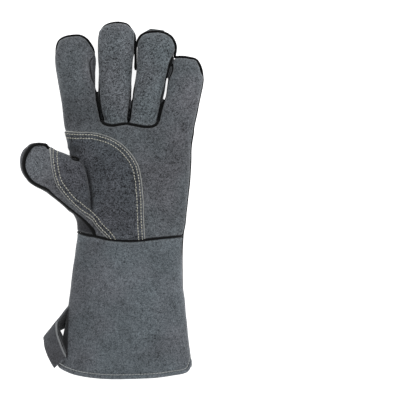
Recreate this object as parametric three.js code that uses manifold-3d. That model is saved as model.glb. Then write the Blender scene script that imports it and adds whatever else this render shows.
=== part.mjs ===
import * as THREE from 'three';
import { mergeVertices } from 'three/addons/utils/BufferGeometryUtils.js';
import Module from 'manifold-3d';

const wasm = await Module();
wasm.setup();

// A long leather work glove for the left hand, lying on its back with the palm up.
// Fingers point to +Y, the thumb to -X, the palm to +Z. All sizes are millimetres.

// Driving sizes
const GLOVE_LENGTH = 355.5;
const HAND_DEPTH = 35;
const LEATHER = 2;
const PATCH_LEATHER = 1.6;
const GAP = 0.3;
const WELT_WIDTH = 2.2;
const WELT_PROUD = 1;
const HEM_TURN = 9;
const STRAP_THICKNESS = 2.4;
const HAND_SIDES = 24;
const FINGER_SIDES = 12;
const SEAM_HALF = WELT_WIDTH / 2;
const SEAM_CLEAR = SEAM_HALF + GAP;
const SLAB_HALF = 0.183 * GLOVE_LENGTH;

// Plan positions are shares of GLOVE_LENGTH: x from the middle of the cuff, y from the hem.
// Heights are shares of HAND_DEPTH above the surface that the glove lies on.

// The hand and cuff from the open end to the finger crotches
const HAND = [
  { y: -0.021, thumbSide: -0.212, littleSide: 0.189, top: 1.14, widest: 0.46 },
  { y: 0.035, thumbSide: -0.198, littleSide: 0.179, top: 1.11, widest: 0.46 },
  { y: 0.08, thumbSide: -0.179, littleSide: 0.174, top: 1.09, widest: 0.46 },
  { y: 0.159, thumbSide: -0.171, littleSide: 0.165, top: 1.06, widest: 0.46 },
  { y: 0.251, thumbSide: -0.159, littleSide: 0.155, top: 1, widest: 0.44 },
  { y: 0.321, thumbSide: -0.152, littleSide: 0.152, top: 0.95, widest: 0.43 },
  { y: 0.4, thumbSide: -0.14, littleSide: 0.155, top: 0.93, widest: 0.43 },
  { y: 0.464, thumbSide: -0.149, littleSide: 0.166, top: 0.97, widest: 0.43 },
  { y: 0.528, thumbSide: -0.157, littleSide: 0.171, top: 1, widest: 0.43 },
  { y: 0.598, thumbSide: -0.163, littleSide: 0.176, top: 1, widest: 0.43 },
  { y: 0.669, thumbSide: -0.172, littleSide: 0.182, top: 0.92, widest: 0.41 },
  { y: 0.705, thumbSide: -0.179, littleSide: 0.19, top: 0.81, widest: 0.4 },
  { y: 0.723, thumbSide: -0.18, littleSide: 0.192, top: 0.73, widest: 0.39 },
];

// Each finger from a base inside the hand to its tip
const FINGERS = [
  { name: 'index', baseX: -0.13, baseY: 0.688, tipX: -0.149, tipY: 0.964, baseHalf: 0.047, tipHalf: 0.055 },
  { name: 'middle', baseX: -0.038, baseY: 0.688, tipX: -0.031, tipY: 1, baseHalf: 0.033, tipHalf: 0.051 },
  { name: 'ring', baseX: 0.043, baseY: 0.688, tipX: 0.081, tipY: 0.976, baseHalf: 0.036, tipHalf: 0.05 },
  { name: 'little', baseX: 0.14, baseY: 0.688, tipX: 0.17, tipY: 0.902, baseHalf: 0.046, tipHalf: 0.046 },
];

// Shape shared by the fingers: spread goes from base to tip width, round closes the end
const FINGER_PROFILE = [
  { along: 0, spread: 0, round: 1, floor: 0.02, top: 0.72, widest: 0.38 },
  { along: 0.3, spread: 0.35, round: 1, floor: 0.02, top: 0.74, widest: 0.38 },
  { along: 0.55, spread: 0.65, round: 1, floor: 0.04, top: 0.75, widest: 0.39 },
  { along: 0.78, spread: 1, round: 1, floor: 0.07, top: 0.73, widest: 0.39 },
  { along: 0.89, spread: 1, round: 0.91, floor: 0.1, top: 0.68, widest: 0.39 },
  { along: 0.965, spread: 1, round: 0.67, floor: 0.2, top: 0.58, widest: 0.39 },
  { along: 1, spread: 1, round: 0.32, floor: 0.3, top: 0.47, widest: 0.39 },
];

// The thumb in its own frame: along from the ball of the thumb to the tip
const THUMB_BASE = { x: -0.112, y: 0.5 };
const THUMB_AIM = { x: -0.836, y: 0.548 };
const THUMB = [
  { along: -0.067, low: -0.073, high: -0.034, floor: 0.26, top: 0.69, widest: 0.43 },
  { along: -0.022, low: -0.064, high: 0.006, floor: 0.26, top: 1.01, widest: 0.57 },
  { along: 0.008, low: -0.056, high: 0.025, floor: 0.26, top: 1.15, widest: 0.62 },
  { along: 0.039, low: -0.051, high: 0.053, floor: 0.26, top: 1.21, widest: 0.64 },
  { along: 0.073, low: -0.045, high: 0.078, floor: 0.26, top: 1.21, widest: 0.64 },
  { along: 0.112, low: -0.042, high: 0.073, floor: 0.26, top: 1.14, widest: 0.62 },
  { along: 0.157, low: -0.046, high: 0.069, floor: 0.26, top: 1.05, widest: 0.6 },
  { along: 0.18, low: -0.041, high: 0.066, floor: 0.27, top: 0.99, widest: 0.59 },
  { along: 0.205, low: -0.028, high: 0.056, floor: 0.31, top: 0.91, widest: 0.58 },
  { along: 0.216, low: -0.015, high: 0.048, floor: 0.35, top: 0.85, widest: 0.58 },
  { along: 0.227, low: -0.004, high: 0.034, floor: 0.42, top: 0.76, widest: 0.58 },
  { along: 0.231, low: 0.004, high: 0.021, floor: 0.5, top: 0.67, widest: 0.58 },
];

// Height of the seam round the back panel, and of the seam round the thumb
const BACK_SEAM = [
  { y: -0.038, thumbSide: 0.31, littleSide: 0.43 },
  { y: 0.136, thumbSide: 0.34, littleSide: 0.43 },
  { y: 0.372, thumbSide: 0.34, littleSide: 0.43 },
  { y: 0.422, thumbSide: 0.17, littleSide: 0.43 },
  { y: 0.641, thumbSide: 0.17, littleSide: 0.43 },
  { y: 0.708, thumbSide: 0.31, littleSide: 0.4 },
  { y: 0.781, thumbSide: 0.37, littleSide: 0.39 },
  { y: 1.033, thumbSide: 0.39, littleSide: 0.39 },
];
const THUMB_SEAM = [
  { y: -0.1, thumbSide: 1.1, littleSide: 0.05 },
  { y: 0.073, thumbSide: 1.1, littleSide: 0.05 },
  { y: 0.18, thumbSide: 0.82, littleSide: 0.4 },
  { y: 0.26, thumbSide: 0.82, littleSide: 0.5 },
];

// Plan lines of the seams and raw edges
const HEM_EDGE = [
  { x: -0.219, y: 0.049 },
  { x: -0.197, y: 0.036 },
  { x: -0.152, y: 0.014 },
  { x: -0.098, y: 0.004 },
  { x: -0.045, y: 0 },
  { x: 0.034, y: 0.002 },
  { x: 0.08, y: 0.004 },
  { x: 0.134, y: 0.011 },
  { x: 0.166, y: 0.02 },
  { x: 0.181, y: 0.041 },
  { x: 0.2, y: 0.058 },
];
const CUFF_SEAM = [
  { x: -0.191, y: 0.421 },
  { x: -0.139, y: 0.409 },
  { x: -0.091, y: 0.399 },
  { x: -0.035, y: 0.388 },
  { x: 0.035, y: 0.388 },
  { x: 0.11, y: 0.394 },
  { x: 0.188, y: 0.401 },
];
const GUSSET_EDGE = [
  { x: -0.196, y: 0.498 },
  { x: -0.164, y: 0.474 },
  { x: -0.147, y: 0.463 },
  { x: -0.131, y: 0.447 },
  { x: -0.109, y: 0.426 },
  { x: -0.085, y: 0.388 },
];
const THUMB_ZONE = [
  { x: -0.134, y: 0.616 },
  { x: -0.179, y: 0.638 },
  { x: -0.219, y: 0.666 },
  { x: -0.275, y: 0.702 },
  { x: -0.345, y: 0.702 },
  { x: -0.345, y: 0.374 },
  { x: -0.134, y: 0.374 },
];
const PATCH_PALM_EDGE = [
  { x: -0.219, y: 0.701 },
  { x: -0.176, y: 0.697 },
  { x: -0.111, y: 0.691 },
  { x: -0.058, y: 0.68 },
  { x: -0.013, y: 0.654 },
  { x: 0.017, y: 0.62 },
  { x: 0.038, y: 0.557 },
  { x: 0.043, y: 0.5 },
  { x: 0.045, y: 0.372 },
];
const PATCH_THUMB_EDGE = [
  { x: -0.045, y: 0.383 },
  { x: -0.07, y: 0.405 },
  { x: -0.101, y: 0.442 },
  { x: -0.145, y: 0.479 },
  { x: -0.182, y: 0.52 },
  { x: -0.209, y: 0.576 },
  { x: -0.222, y: 0.649 },
  { x: -0.226, y: 0.683 },
];
const MIDDLE_BASE = [
  { x: -0.074, y: 0.73 },
  { x: -0.059, y: 0.711 },
  { x: -0.038, y: 0.707 },
];
const RING_BASE = [
  { x: 0.045, y: 0.704 },
  { x: 0.069, y: 0.704 },
  { x: 0.087, y: 0.718 },
];
const GAP_LINES = {
  index_middle: [
    { x: -0.079, y: 0.747 },
    { x: -0.082, y: 0.795 },
    { x: -0.087, y: 0.898 },
    { x: -0.087, y: 1.047 },
  ],
  middle_ring: [
    { x: 0.002, y: 0.712 },
    { x: 0.005, y: 0.741 },
    { x: 0.012, y: 0.823 },
    { x: 0.022, y: 0.921 },
    { x: 0.027, y: 1.047 },
  ],
  ring_little: [
    { x: 0.093, y: 0.741 },
    { x: 0.106, y: 0.809 },
    { x: 0.117, y: 0.87 },
    { x: 0.13, y: 0.921 },
    { x: 0.14, y: 1.047 },
  ],
};

// Side walls between the fingers: each side ends at its own height on the finger
const SIDE_WALLS = [
  { name: 'index_middle', leftFinger: 'index', leftEnd: 0.921, rightFinger: 'middle', rightEnd: 0.957 },
  { name: 'middle_ring', leftFinger: 'middle', leftEnd: 0.957, rightFinger: 'ring', rightEnd: 0.935 },
  { name: 'ring_little', leftFinger: 'ring', leftEnd: 0.935, rightFinger: 'little', rightEnd: 0.865 },
];
const CROTCH_ZONE = [
  { x: -0.09, y: 0.69 },
  { x: 0.1, y: 0.69 },
  { x: 0.1, y: 0.743 },
  { x: -0.09, y: 0.743 },
];
const SIDE_WALL_START = 0.708;
const SIDE_WALL_LOW = 0.2;
const SIDE_WALL_HIGH = 0.55;

// The hang loop: a flat strap, by its inner and outer edges
const HANG_LOOP = [
  { innerX: -0.169, innerY: 0.203, innerZ: 0.72, outerX: -0.169, outerY: 0.196, outerZ: 0.2 },
  { innerX: -0.186, innerY: 0.179, innerZ: 0.76, outerX: -0.191, outerY: 0.176, outerZ: 0.24 },
  { innerX: -0.199, innerY: 0.157, innerZ: 0.82, outerX: -0.224, outerY: 0.133, outerZ: 0.42 },
  { innerX: -0.201, innerY: 0.128, innerZ: 0.86, outerX: -0.235, outerY: 0.108, outerZ: 0.5 },
  { innerX: -0.193, innerY: 0.1, innerZ: 0.92, outerX: -0.227, outerY: 0.074, outerZ: 0.55 },
  { innerX: -0.177, innerY: 0.062, innerZ: 1, outerX: -0.207, outerY: 0.031, outerZ: 0.66 },
];

// Solids

function length(share) {
  return share * GLOVE_LENGTH;
}

function height(share) {
  return share * HAND_DEPTH;
}

function solid(geometry) {
  const bare = geometry.clone();
  bare.deleteAttribute('normal');
  bare.deleteAttribute('uv');
  const merged = mergeVertices(bare, 1e-5);
  const vertProperties = new Float32Array(merged.attributes.position.array);
  const triVerts = new Uint32Array(merged.index.array);
  return new wasm.Manifold(new wasm.Mesh({ numProp: 3, vertProperties, triVerts }));
}

function moved(geometry, place) {
  const position = geometry.attributes.position;
  const point = new THREE.Vector3();
  for (let i = 0; i < position.count; i += 1) {
    point.fromBufferAttribute(position, i);
    const target = place(point);
    position.setXYZ(i, target.x, target.y, target.z);
  }
  return geometry;
}

function union(solids) {
  return solids.reduce((sum, item) => sum.add(item));
}

function without(item, solids) {
  return solids.reduce((rest, tool) => rest.subtract(tool), item);
}

// Sections and lofts

// Power of the section curve: 2 is an ellipse, higher is squarer
const SECTION_POWER = 2.4;

function roundedAxis(value) {
  return Math.sign(value) * Math.abs(value) ** (2 / SECTION_POWER);
}

// Leather laid on the surface is flat there, and the inner faces lie a wall above it
function resting(z, grow) {
  return Math.max(z, Math.max(0, -grow));
}

function sectionPoint(section, across, up, grow) {
  const middle = (section.low + section.high) / 2;
  const half = (section.high - section.low) / 2 + grow;
  const reach = up > 0 ? section.top - section.widest : section.widest - section.floor;
  const x = middle + half * roundedAxis(across);
  const z = section.widest + (reach + grow) * roundedAxis(up);
  return { x, z: resting(z, grow) };
}

// Rings of a cylinder moved onto sections; the end rings move outwards by their own growth
function loft(sections, sides, grow, ends) {
  const last = sections.length - 1;
  const geometry = new THREE.CylinderGeometry(1, 1, 1, sides, last);
  return moved(geometry, (point) => {
    const ring = Math.round((point.y + 0.5) * last);
    const section = sections[ring];
    const target = sectionPoint(section, point.x, point.z, grow);
    const shift = (ring === 0 ? -grow * ends.start : 0) + (ring === last ? grow * ends.finish : 0);
    return new THREE.Vector3(target.x, section.y + shift, target.z);
  });
}

function frameAt(x, y, aimX, aimY) {
  const along = new THREE.Vector3(aimX, aimY, 0).normalize();
  const up = new THREE.Vector3(0, 0, 1);
  const across = new THREE.Vector3().crossVectors(along, up);
  const frame = new THREE.Matrix4().makeBasis(across, along, up);
  return frame.setPosition(x, y, 0);
}

// The hollow form of the glove

function handForm(grow) {
  const sections = HAND.map((row) => ({
    y: length(row.y),
    low: length(row.thumbSide),
    high: length(row.littleSide),
    floor: -0.15 * height(row.widest),
    top: height(row.top),
    widest: height(row.widest),
  }));
  return solid(loft(sections, HAND_SIDES, grow, { start: 0, finish: 1 }));
}

function fingerForm(finger, grow) {
  const base = new THREE.Vector2(length(finger.baseX), length(finger.baseY));
  const aim = new THREE.Vector2(length(finger.tipX), length(finger.tipY)).sub(base);
  const sections = FINGER_PROFILE.map((row) => {
    const half = THREE.MathUtils.lerp(length(finger.baseHalf), length(finger.tipHalf), row.spread);
    return {
      y: aim.length() * row.along,
      low: -half * row.round,
      high: half * row.round,
      floor: height(row.floor),
      top: height(row.top),
      widest: height(row.widest),
    };
  });
  const geometry = loft(sections, FINGER_SIDES, grow, { start: 0, finish: 1 });
  return solid(geometry.applyMatrix4(frameAt(base.x, base.y, aim.x, aim.y)));
}

const THUMB_FRAME = frameAt(length(THUMB_BASE.x), length(THUMB_BASE.y), THUMB_AIM.x, THUMB_AIM.y);

function thumbForm(grow) {
  const sections = THUMB.map((row) => ({
    y: length(row.along),
    low: length(row.low),
    high: length(row.high),
    floor: height(row.floor),
    top: height(row.top),
    widest: height(row.widest),
  }));
  const geometry = loft(sections, FINGER_SIDES, grow, { start: 0, finish: 1 });
  return solid(geometry.applyMatrix4(THUMB_FRAME));
}

function gloveForm(grow) {
  const fingers = FINGERS.map((finger) => fingerForm(finger, grow));
  return union([handForm(grow), thumbForm(grow), ...fingers]);
}

// Cutting solids from plan lines and seam heights

function planPoints(rows) {
  return rows.map((row) => new THREE.Vector2(length(row.x), length(row.y)));
}

function smoothLine(rows, count) {
  return new THREE.SplineCurve(planPoints(rows)).getPoints(count);
}

// Moves a closed outline outwards by grow
function grownOutline(points, grow) {
  const outline = THREE.ShapeUtils.isClockWise(points) ? [...points].reverse() : points;
  const count = outline.length;
  return outline.map((point, i) => {
    const into = point.clone().sub(outline[(i + count - 1) % count]).normalize();
    const away = outline[(i + 1) % count].clone().sub(point).normalize();
    const normal = new THREE.Vector2(into.y + away.y, -into.x - away.x).normalize();
    const miter = Math.max(0.4, normal.x * into.y - normal.y * into.x);
    return point.clone().addScaledVector(normal, grow / miter);
  });
}

function planBlock(points, grow) {
  const shape = new THREE.Shape(grownOutline(points, grow));
  const depth = 3 * HAND_DEPTH;
  const geometry = new THREE.ExtrudeGeometry(shape, { depth, bevelEnabled: false });
  return solid(geometry.translate(0, 0, -HAND_DEPTH));
}

// A slab between two heights measured from a seam that rises and falls along the glove
function seamSlab(rows, halfWidth, low, high, frame) {
  const last = rows.length - 1;
  const geometry = new THREE.BoxGeometry(2, 1, 1, 1, last, 1);
  moved(geometry, (point) => {
    const row = rows[Math.round((point.y + 0.5) * last)];
    const seam = height(point.x < 0 ? row.thumbSide : row.littleSide);
    return new THREE.Vector3(point.x * halfWidth, length(row.y), seam + (point.z < 0 ? low : high));
  });
  return solid(geometry.applyMatrix4(frame));
}

function backRegion(grow) {
  const wide = BACK_SEAM.map((row) => ({
    y: row.y,
    thumbSide: row.thumbSide + (row.thumbSide - row.littleSide) / 2,
    littleSide: row.littleSide - (row.thumbSide - row.littleSide) / 2,
  }));
  return seamSlab(wide, 2 * SLAB_HALF, -3 * HAND_DEPTH, grow, new THREE.Matrix4());
}

function cuffRegion(grow) {
  const seam = smoothLine(CUFF_SEAM, 8);
  const far = length(0.5);
  return planBlock([...seam, new THREE.Vector2(far, -far), new THREE.Vector2(-far, -far)], grow);
}

function thumbRegion(grow) {
  const under = seamSlab(THUMB_SEAM, length(0.084), -3 * HAND_DEPTH, grow, THUMB_FRAME);
  const zone = planBlock(planPoints(THUMB_ZONE), grow);
  const corner = new THREE.Vector2(length(-0.25), length(0.36));
  const gusset = planBlock([...smoothLine(GUSSET_EDGE, 8), corner], grow);
  return under.intersect(zone).add(gusset);
}

function frontRegion(left, base, right, grow) {
  return planBlock([...planPoints(left).reverse(), ...planPoints(base), ...planPoints(right)], grow);
}

function middleRegion(grow) {
  return frontRegion(GAP_LINES.index_middle, MIDDLE_BASE, GAP_LINES.middle_ring, grow);
}

function ringRegion(grow) {
  return frontRegion(GAP_LINES.middle_ring, RING_BASE, GAP_LINES.ring_little, grow);
}

function patchRegion() {
  return planBlock([...smoothLine(PATCH_PALM_EDGE, 14), ...smoothLine(PATCH_THUMB_EDGE, 12)], 0);
}

// Plan strip from the middle of a finger to the line between it and its neighbour
function halfFingerStrip(finger, line) {
  const base = new THREE.Vector2(length(finger.baseX), length(SIDE_WALL_START) - HEM_TURN);
  const tip = new THREE.Vector2(length(finger.tipX), length(1.047));
  const gap = planPoints(line);
  const foot = new THREE.Vector2(gap[0].x, base.y);
  return planBlock([base, foot, ...gap, tip], GAP / 6);
}

// A wall that is even along the finger and narrows to nothing near the tip
function wallBand(end, grow) {
  const start = length(SIDE_WALL_START);
  const finish = length(end);
  const low = height(SIDE_WALL_LOW);
  const high = height(SIDE_WALL_HIGH);
  const narrowing = start + (finish - start) * 0.6;
  const outline = grownOutline([
    new THREE.Vector2(start, low),
    new THREE.Vector2(narrowing, low),
    new THREE.Vector2(finish, (low + high) / 2),
    new THREE.Vector2(narrowing, high),
    new THREE.Vector2(start, high),
  ], grow);
  const depth = 2 * GLOVE_LENGTH;
  const geometry = new THREE.ExtrudeGeometry(new THREE.Shape(outline), { depth, bevelEnabled: false });
  const turn = new THREE.Matrix4().makeBasis(
    new THREE.Vector3(0, 1, 0),
    new THREE.Vector3(0, 0, 1),
    new THREE.Vector3(1, 0, 0),
  );
  return solid(geometry.translate(0, 0, -GLOVE_LENGTH).applyMatrix4(turn));
}

function sideWallRegion(wall, grow) {
  const left = FINGERS.find((finger) => finger.name === wall.leftFinger);
  const right = FINGERS.find((finger) => finger.name === wall.rightFinger);
  const line = GAP_LINES[wall.name];
  const leftPart = wallBand(wall.leftEnd, grow).intersect(halfFingerStrip(left, line));
  const rightPart = wallBand(wall.rightEnd, grow).intersect(halfFingerStrip(right, line));
  return leftPart.add(rightPart);
}

// Shell, and the regions with room for the seams

const far = length(0.6);
const hemEdge = smoothLine(HEM_EDGE, 12);
const beyondHem = planBlock([...hemEdge, new THREE.Vector2(far, -far), new THREE.Vector2(-far, -far)], 0);
const hemBand = planBlock(
  [...hemEdge, new THREE.Vector2(far, -far), new THREE.Vector2(-far, -far)],
  HEM_TURN,
);
const outside = gloveForm(0).subtract(beyondHem);
const proud = gloveForm(WELT_PROUD).subtract(beyondHem);
const hollow = gloveForm(-LEATHER).subtract(hemBand).add(handForm(-2 * LEATHER));
const shell = outside.subtract(hollow);
const proudShell = proud.subtract(hollow);

const sideWalls = SIDE_WALLS.map((wall) => sideWallRegion(wall, SEAM_CLEAR));
const besideBack = [backRegion(SEAM_CLEAR), ...sideWalls];
const cuffTaken = cuffRegion(SEAM_CLEAR);
const thumbTaken = thumbRegion(SEAM_CLEAR);
const frontsTaken = [middleRegion(SEAM_CLEAR), ringRegion(SEAM_CLEAR)];

// The largest body, without the slivers left where forms cross
function mainBody(item) {
  return item.decompose().reduce((most, part) => (part.volume() > most.volume() ? part : most));
}

// A strip of the proud leather along the edge of a region
function weltAlong(region, taken) {
  const strip = region(SEAM_HALF).subtract(region(-SEAM_HALF));
  return without(proudShell.intersect(strip), taken);
}

function strapSolid() {
  const last = HANG_LOOP.length - 1;
  const edges = HANG_LOOP.map((row) => ({
    inner: new THREE.Vector3(length(row.innerX), length(row.innerY), height(row.innerZ)),
    outer: new THREE.Vector3(length(row.outerX), length(row.outerY), height(row.outerZ)),
  }));
  const middles = edges.map((edge) => edge.inner.clone().add(edge.outer).multiplyScalar(0.5));
  const geometry = new THREE.BoxGeometry(1, 1, 1, 1, last, 1);
  return solid(moved(geometry, (point) => {
    const row = Math.round((point.y + 0.5) * last);
    const { inner, outer } = edges[row];
    const along = middles[Math.min(row + 1, last)].clone().sub(middles[Math.max(row - 1, 0)]);
    const normal = outer.clone().sub(inner).cross(along).normalize();
    const edge = point.x < 0 ? inner : outer;
    return edge.clone().addScaledVector(normal, point.z * STRAP_THICKNESS);
  }));
}

// Pieces

const group = new THREE.Group();

function addPiece(name, item, color, roughness) {
  const mesh = item.getMesh();
  const geometry = new THREE.BufferGeometry();
  geometry.setAttribute('position', new THREE.BufferAttribute(new Float32Array(mesh.vertProperties), 3));
  geometry.setIndex(new THREE.BufferAttribute(new Uint32Array(mesh.triVerts), 1));
  geometry.computeVertexNormals();
  const material = new THREE.MeshStandardMaterial({ color, roughness, metalness: 0 });
  const piece = new THREE.Mesh(geometry, material);
  piece.name = name;
  group.add(piece);
}

const GREY = 0x5c6165;
const FRONT_GREY = 0x616568;
const DARK_GREY = 0x484b50;
const WELT_BLACK = 0x161819;

addPiece('back_panel', without(shell.intersect(backRegion(-SEAM_CLEAR)), sideWalls), GREY, 0.92);
addPiece(
  'palm_panel',
  without(shell, [...besideBack, thumbTaken, cuffTaken, ...frontsTaken]),
  GREY,
  0.92,
);
addPiece(
  'middle_finger_front',
  without(shell.intersect(middleRegion(-SEAM_CLEAR)), besideBack),
  FRONT_GREY,
  0.92,
);
addPiece(
  'ring_finger_front',
  without(shell.intersect(ringRegion(-SEAM_CLEAR)), besideBack),
  FRONT_GREY,
  0.92,
);
addPiece(
  'thumb_back',
  without(shell.intersect(thumbRegion(-SEAM_CLEAR)), [...besideBack, cuffTaken]),
  DARK_GREY,
  0.92,
);
addPiece('cuff_front', without(shell.intersect(cuffRegion(-SEAM_CLEAR)), besideBack), GREY, 0.92);

const patchLayer = gloveForm(GAP + PATCH_LEATHER).subtract(gloveForm(GAP));
addPiece(
  'palm_patch',
  without(patchLayer.intersect(patchRegion()), [...besideBack, thumbTaken, cuffTaken]),
  DARK_GREY,
  0.95,
);

SIDE_WALLS.forEach((wall) => {
  const piece = shell.intersect(sideWallRegion(wall, -SEAM_CLEAR));
  addPiece(`${wall.name}_side_wall`, piece, DARK_GREY, 0.92);
});

SIDE_WALLS.forEach((wall) => {
  const piece = weltAlong((grow) => sideWallRegion(wall, grow), []);
  addPiece(`${wall.name}_welt`, mainBody(piece), WELT_BLACK, 0.8);
});

const backWelts = weltAlong(backRegion, sideWalls).decompose();
const BACK_WELT_NAMES = ['thumb_side_welt', 'middle_tip_welt', 'ring_tip_welt', 'little_side_welt'];
backWelts
  .filter((item) => item.volume() > 1)
  .sort((a, b) => a.boundingBox().max[0] - b.boundingBox().max[0])
  .forEach((item, i) => addPiece(BACK_WELT_NAMES[i], item, WELT_BLACK, 0.8));

const cuffWelt = weltAlong(cuffRegion, besideBack);
addPiece('cuff_seam_welt', cuffWelt, WELT_BLACK, 0.8);
const thumbWelt = weltAlong(thumbRegion, [...besideBack, cuffTaken]);
addPiece('thumb_welt', mainBody(thumbWelt), WELT_BLACK, 0.8);
const bothFronts = (grow) => middleRegion(grow).add(ringRegion(grow));
const baseWelt = weltAlong(bothFronts, besideBack).intersect(planBlock(planPoints(CROTCH_ZONE), 0));
addPiece('finger_base_welt', mainBody(baseWelt), WELT_BLACK, 0.8);
addPiece('hang_loop', strapSolid(), GREY, 0.92);

// The origin is the middle of the glove's plan, on the surface that it lies on
const extent = new THREE.Box3().setFromObject(group);
const centre = extent.getCenter(new THREE.Vector3());
group.position.set(-centre.x, -centre.y, -extent.min.z);

export default group;
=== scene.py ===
"""Long suede work glove, palm up on a pale floor. The leather is one inflated body, cut into its panels
along the seams. Lengths are in millimetres, and plan units are pixels of the 400 x 400 photograph."""

import math

import bpy
import numpy as np
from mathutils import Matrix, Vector


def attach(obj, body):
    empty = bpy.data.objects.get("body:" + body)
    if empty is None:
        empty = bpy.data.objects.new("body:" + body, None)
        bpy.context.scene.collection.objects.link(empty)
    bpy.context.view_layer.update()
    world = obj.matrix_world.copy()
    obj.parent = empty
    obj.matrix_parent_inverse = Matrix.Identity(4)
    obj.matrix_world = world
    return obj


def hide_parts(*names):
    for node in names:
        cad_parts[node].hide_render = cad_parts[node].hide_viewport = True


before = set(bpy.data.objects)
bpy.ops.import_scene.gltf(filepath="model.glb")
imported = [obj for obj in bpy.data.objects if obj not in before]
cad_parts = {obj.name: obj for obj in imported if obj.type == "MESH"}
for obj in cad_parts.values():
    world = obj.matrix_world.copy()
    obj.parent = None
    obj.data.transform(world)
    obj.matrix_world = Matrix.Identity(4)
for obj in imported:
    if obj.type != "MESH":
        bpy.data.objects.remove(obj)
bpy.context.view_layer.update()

GLOVE_LENGTH = 355.5
UNIT = GLOVE_LENGTH / 356.9
MIDDLE_X, HEM_Y = 128.0, 378.6
SHIFT = np.array([16.830, -178.324, 0.0])
# roundness of the sections: 2 is an ellipse
POWER = 2.4
VOXEL = 1.15
LEATHER, PATCH = 2.0, 1.7
# how far a panel stays from its seam
CLEARANCE = 0.95
HEM_STITCHES = 4.5
PATCH_STITCHES = (2.6, 6.3)
rng = np.random.default_rng(7)


def plan_y(y):
    return (HEM_Y - y) * UNIT


def plan(rows):
    """Plan units to millimetres: x from the middle of the cuff, y from the hem."""
    out = np.array(rows, float)
    out[:, 0] = (out[:, 0] - MIDDLE_X) * UNIT
    out[:, 1] = plan_y(out[:, 1])
    return out


def in_plan(p):
    """Plan units of points in millimetres."""
    return MIDDLE_X + p[:, 0] / UNIT, HEM_Y - p[:, 1] / UNIT


# shape tables, in plan units

# y, left edge, right edge, top height, height of the widest level
HAND = [
    (389, 51, 194, 40, 16.1), (366, 57.8, 192.3, 38.6, 16.1), (360, 59, 191.7, 38.4, 16.1),
    (346.7, 61.2, 189.8, 38, 16.1), (327.6, 64.6, 187.3, 37.3, 16.1), (308.4, 68.3, 185.2, 36.5, 16),
    (289.3, 70.8, 183.2, 35.2, 15.6), (272, 72.6, 182.5, 34, 15.4), (260, 74, 182.3, 33.3, 15.2),
    (248, 75.8, 182.2, 32.8, 15), (240, 77.3, 182.9, 32.5, 15), (231.3, 77.2, 183.6, 32.7, 15),
    (222.3, 76.8, 185.1, 33.4, 15), (212, 75.8, 186.1, 34, 15), (200, 74, 186.9, 34.6, 15),
    (191.1, 73.3, 188.3, 35, 15), (175.8, 72.4, 189.6, 35, 15), (152.9, 71.7, 191, 33.8, 15),
    (137.6, 69, 192.4, 31.5, 14.6), (122.2, 64, 195, 28.3, 14), (107, 62, 198.2, 26.4, 13.6),
]

INDEX = [
    (73, 150), (69.5, 143), (66.7, 134), (64.5, 125), (63.5, 112), (61.4, 99.3), (58.6, 81.4), (56.5, 70),
    (55.2, 61), (55.3, 54), (55.8, 48.3), (56.8, 43.2), (58.8, 39.6), (62.8, 36.9), (67.5, 35.3),
    (73.8, 34.5), (79.5, 34.5), (83.6, 36), (87.2, 38.7), (90, 42.4), (92.3, 46.1), (93.8, 50),
    (95.6, 58.5), (95.7, 68), (95, 78), (95.2, 86), (96.5, 90.5), (98.3, 95), (99.7, 101), (101.1, 109),
    (102.3, 115), (103.4, 120), (104, 128), (104, 150),
]
MIDDLE = [
    (104.6, 150), (104.2, 127), (103.4, 121), (101.6, 116), (100, 109), (98.8, 102), (98, 95.5), (98, 91),
    (98.4, 86.5), (98.4, 74), (97.7, 62), (97.5, 48), (97.9, 40), (98.4, 35.5), (99.4, 31.5), (101.8, 27.9),
    (105, 25), (109.5, 23.2), (117.1, 22.1), (124.8, 22.9), (128.4, 24.8), (131.2, 27.9), (134, 30.9),
    (135.3, 34.2), (136, 38.6), (135.9, 43.2), (135, 49), (134, 54.6), (133, 61), (132.3, 67.4),
    (131.6, 77), (131.2, 86.5), (130.9, 93.5), (131, 98), (130.5, 104), (129.9, 111), (129.3, 118),
    (128.4, 127), (128, 150),
]
RING = [
    (129, 150), (129, 127), (129.3, 121), (129.6, 116), (130.2, 108), (131.2, 102), (132.6, 98), (133, 94),
    (133.5, 90), (134.3, 85), (135.9, 73.8), (136.5, 60), (136.6, 50), (137.6, 42.6), (138.8, 38),
    (140.8, 35.2), (143.9, 33.2), (149, 31.6), (154.1, 31.1), (159, 31.1), (163.1, 31.8), (167.6, 33.4),
    (171.2, 35.6), (173.9, 39), (174.6, 43.2), (174.9, 46.5), (174.7, 49.5), (174.3, 52.5), (173.5, 56),
    (173.9, 59), (173.2, 62.5), (172.2, 66), (171.1, 70), (169.8, 74), (167, 78), (166, 82), (165.6, 86),
    (165.1, 90), (164.2, 95), (163.3, 99), (162.5, 104), (161, 110), (159.5, 116), (158.7, 121),
    (157.6, 127), (157.2, 150),
]
LITTLE = [
    (158.4, 150), (158, 127), (158, 121), (158.5, 116), (159.9, 110.5), (161.6, 105), (163.5, 100.5),
    (165.4, 96), (166.3, 91), (167.1, 86), (167.8, 82), (168.1, 78), (168, 75), (167.9, 71), (168.7, 67),
    (169.7, 63.5), (170.6, 60.2), (171.2, 58.6), (175.2, 56.4), (184.7, 56.4), (189.6, 57.3), (194.6, 58.2),
    (197.6, 59.9), (199.1, 62.7), (200.9, 66.4), (202, 70.4), (202.5, 74.4), (203.1, 77.6), (202.5, 84),
    (201.2, 91.6), (197.8, 106.9), (194.8, 122.2), (193, 132), (189.7, 142), (185, 150),
]
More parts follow.
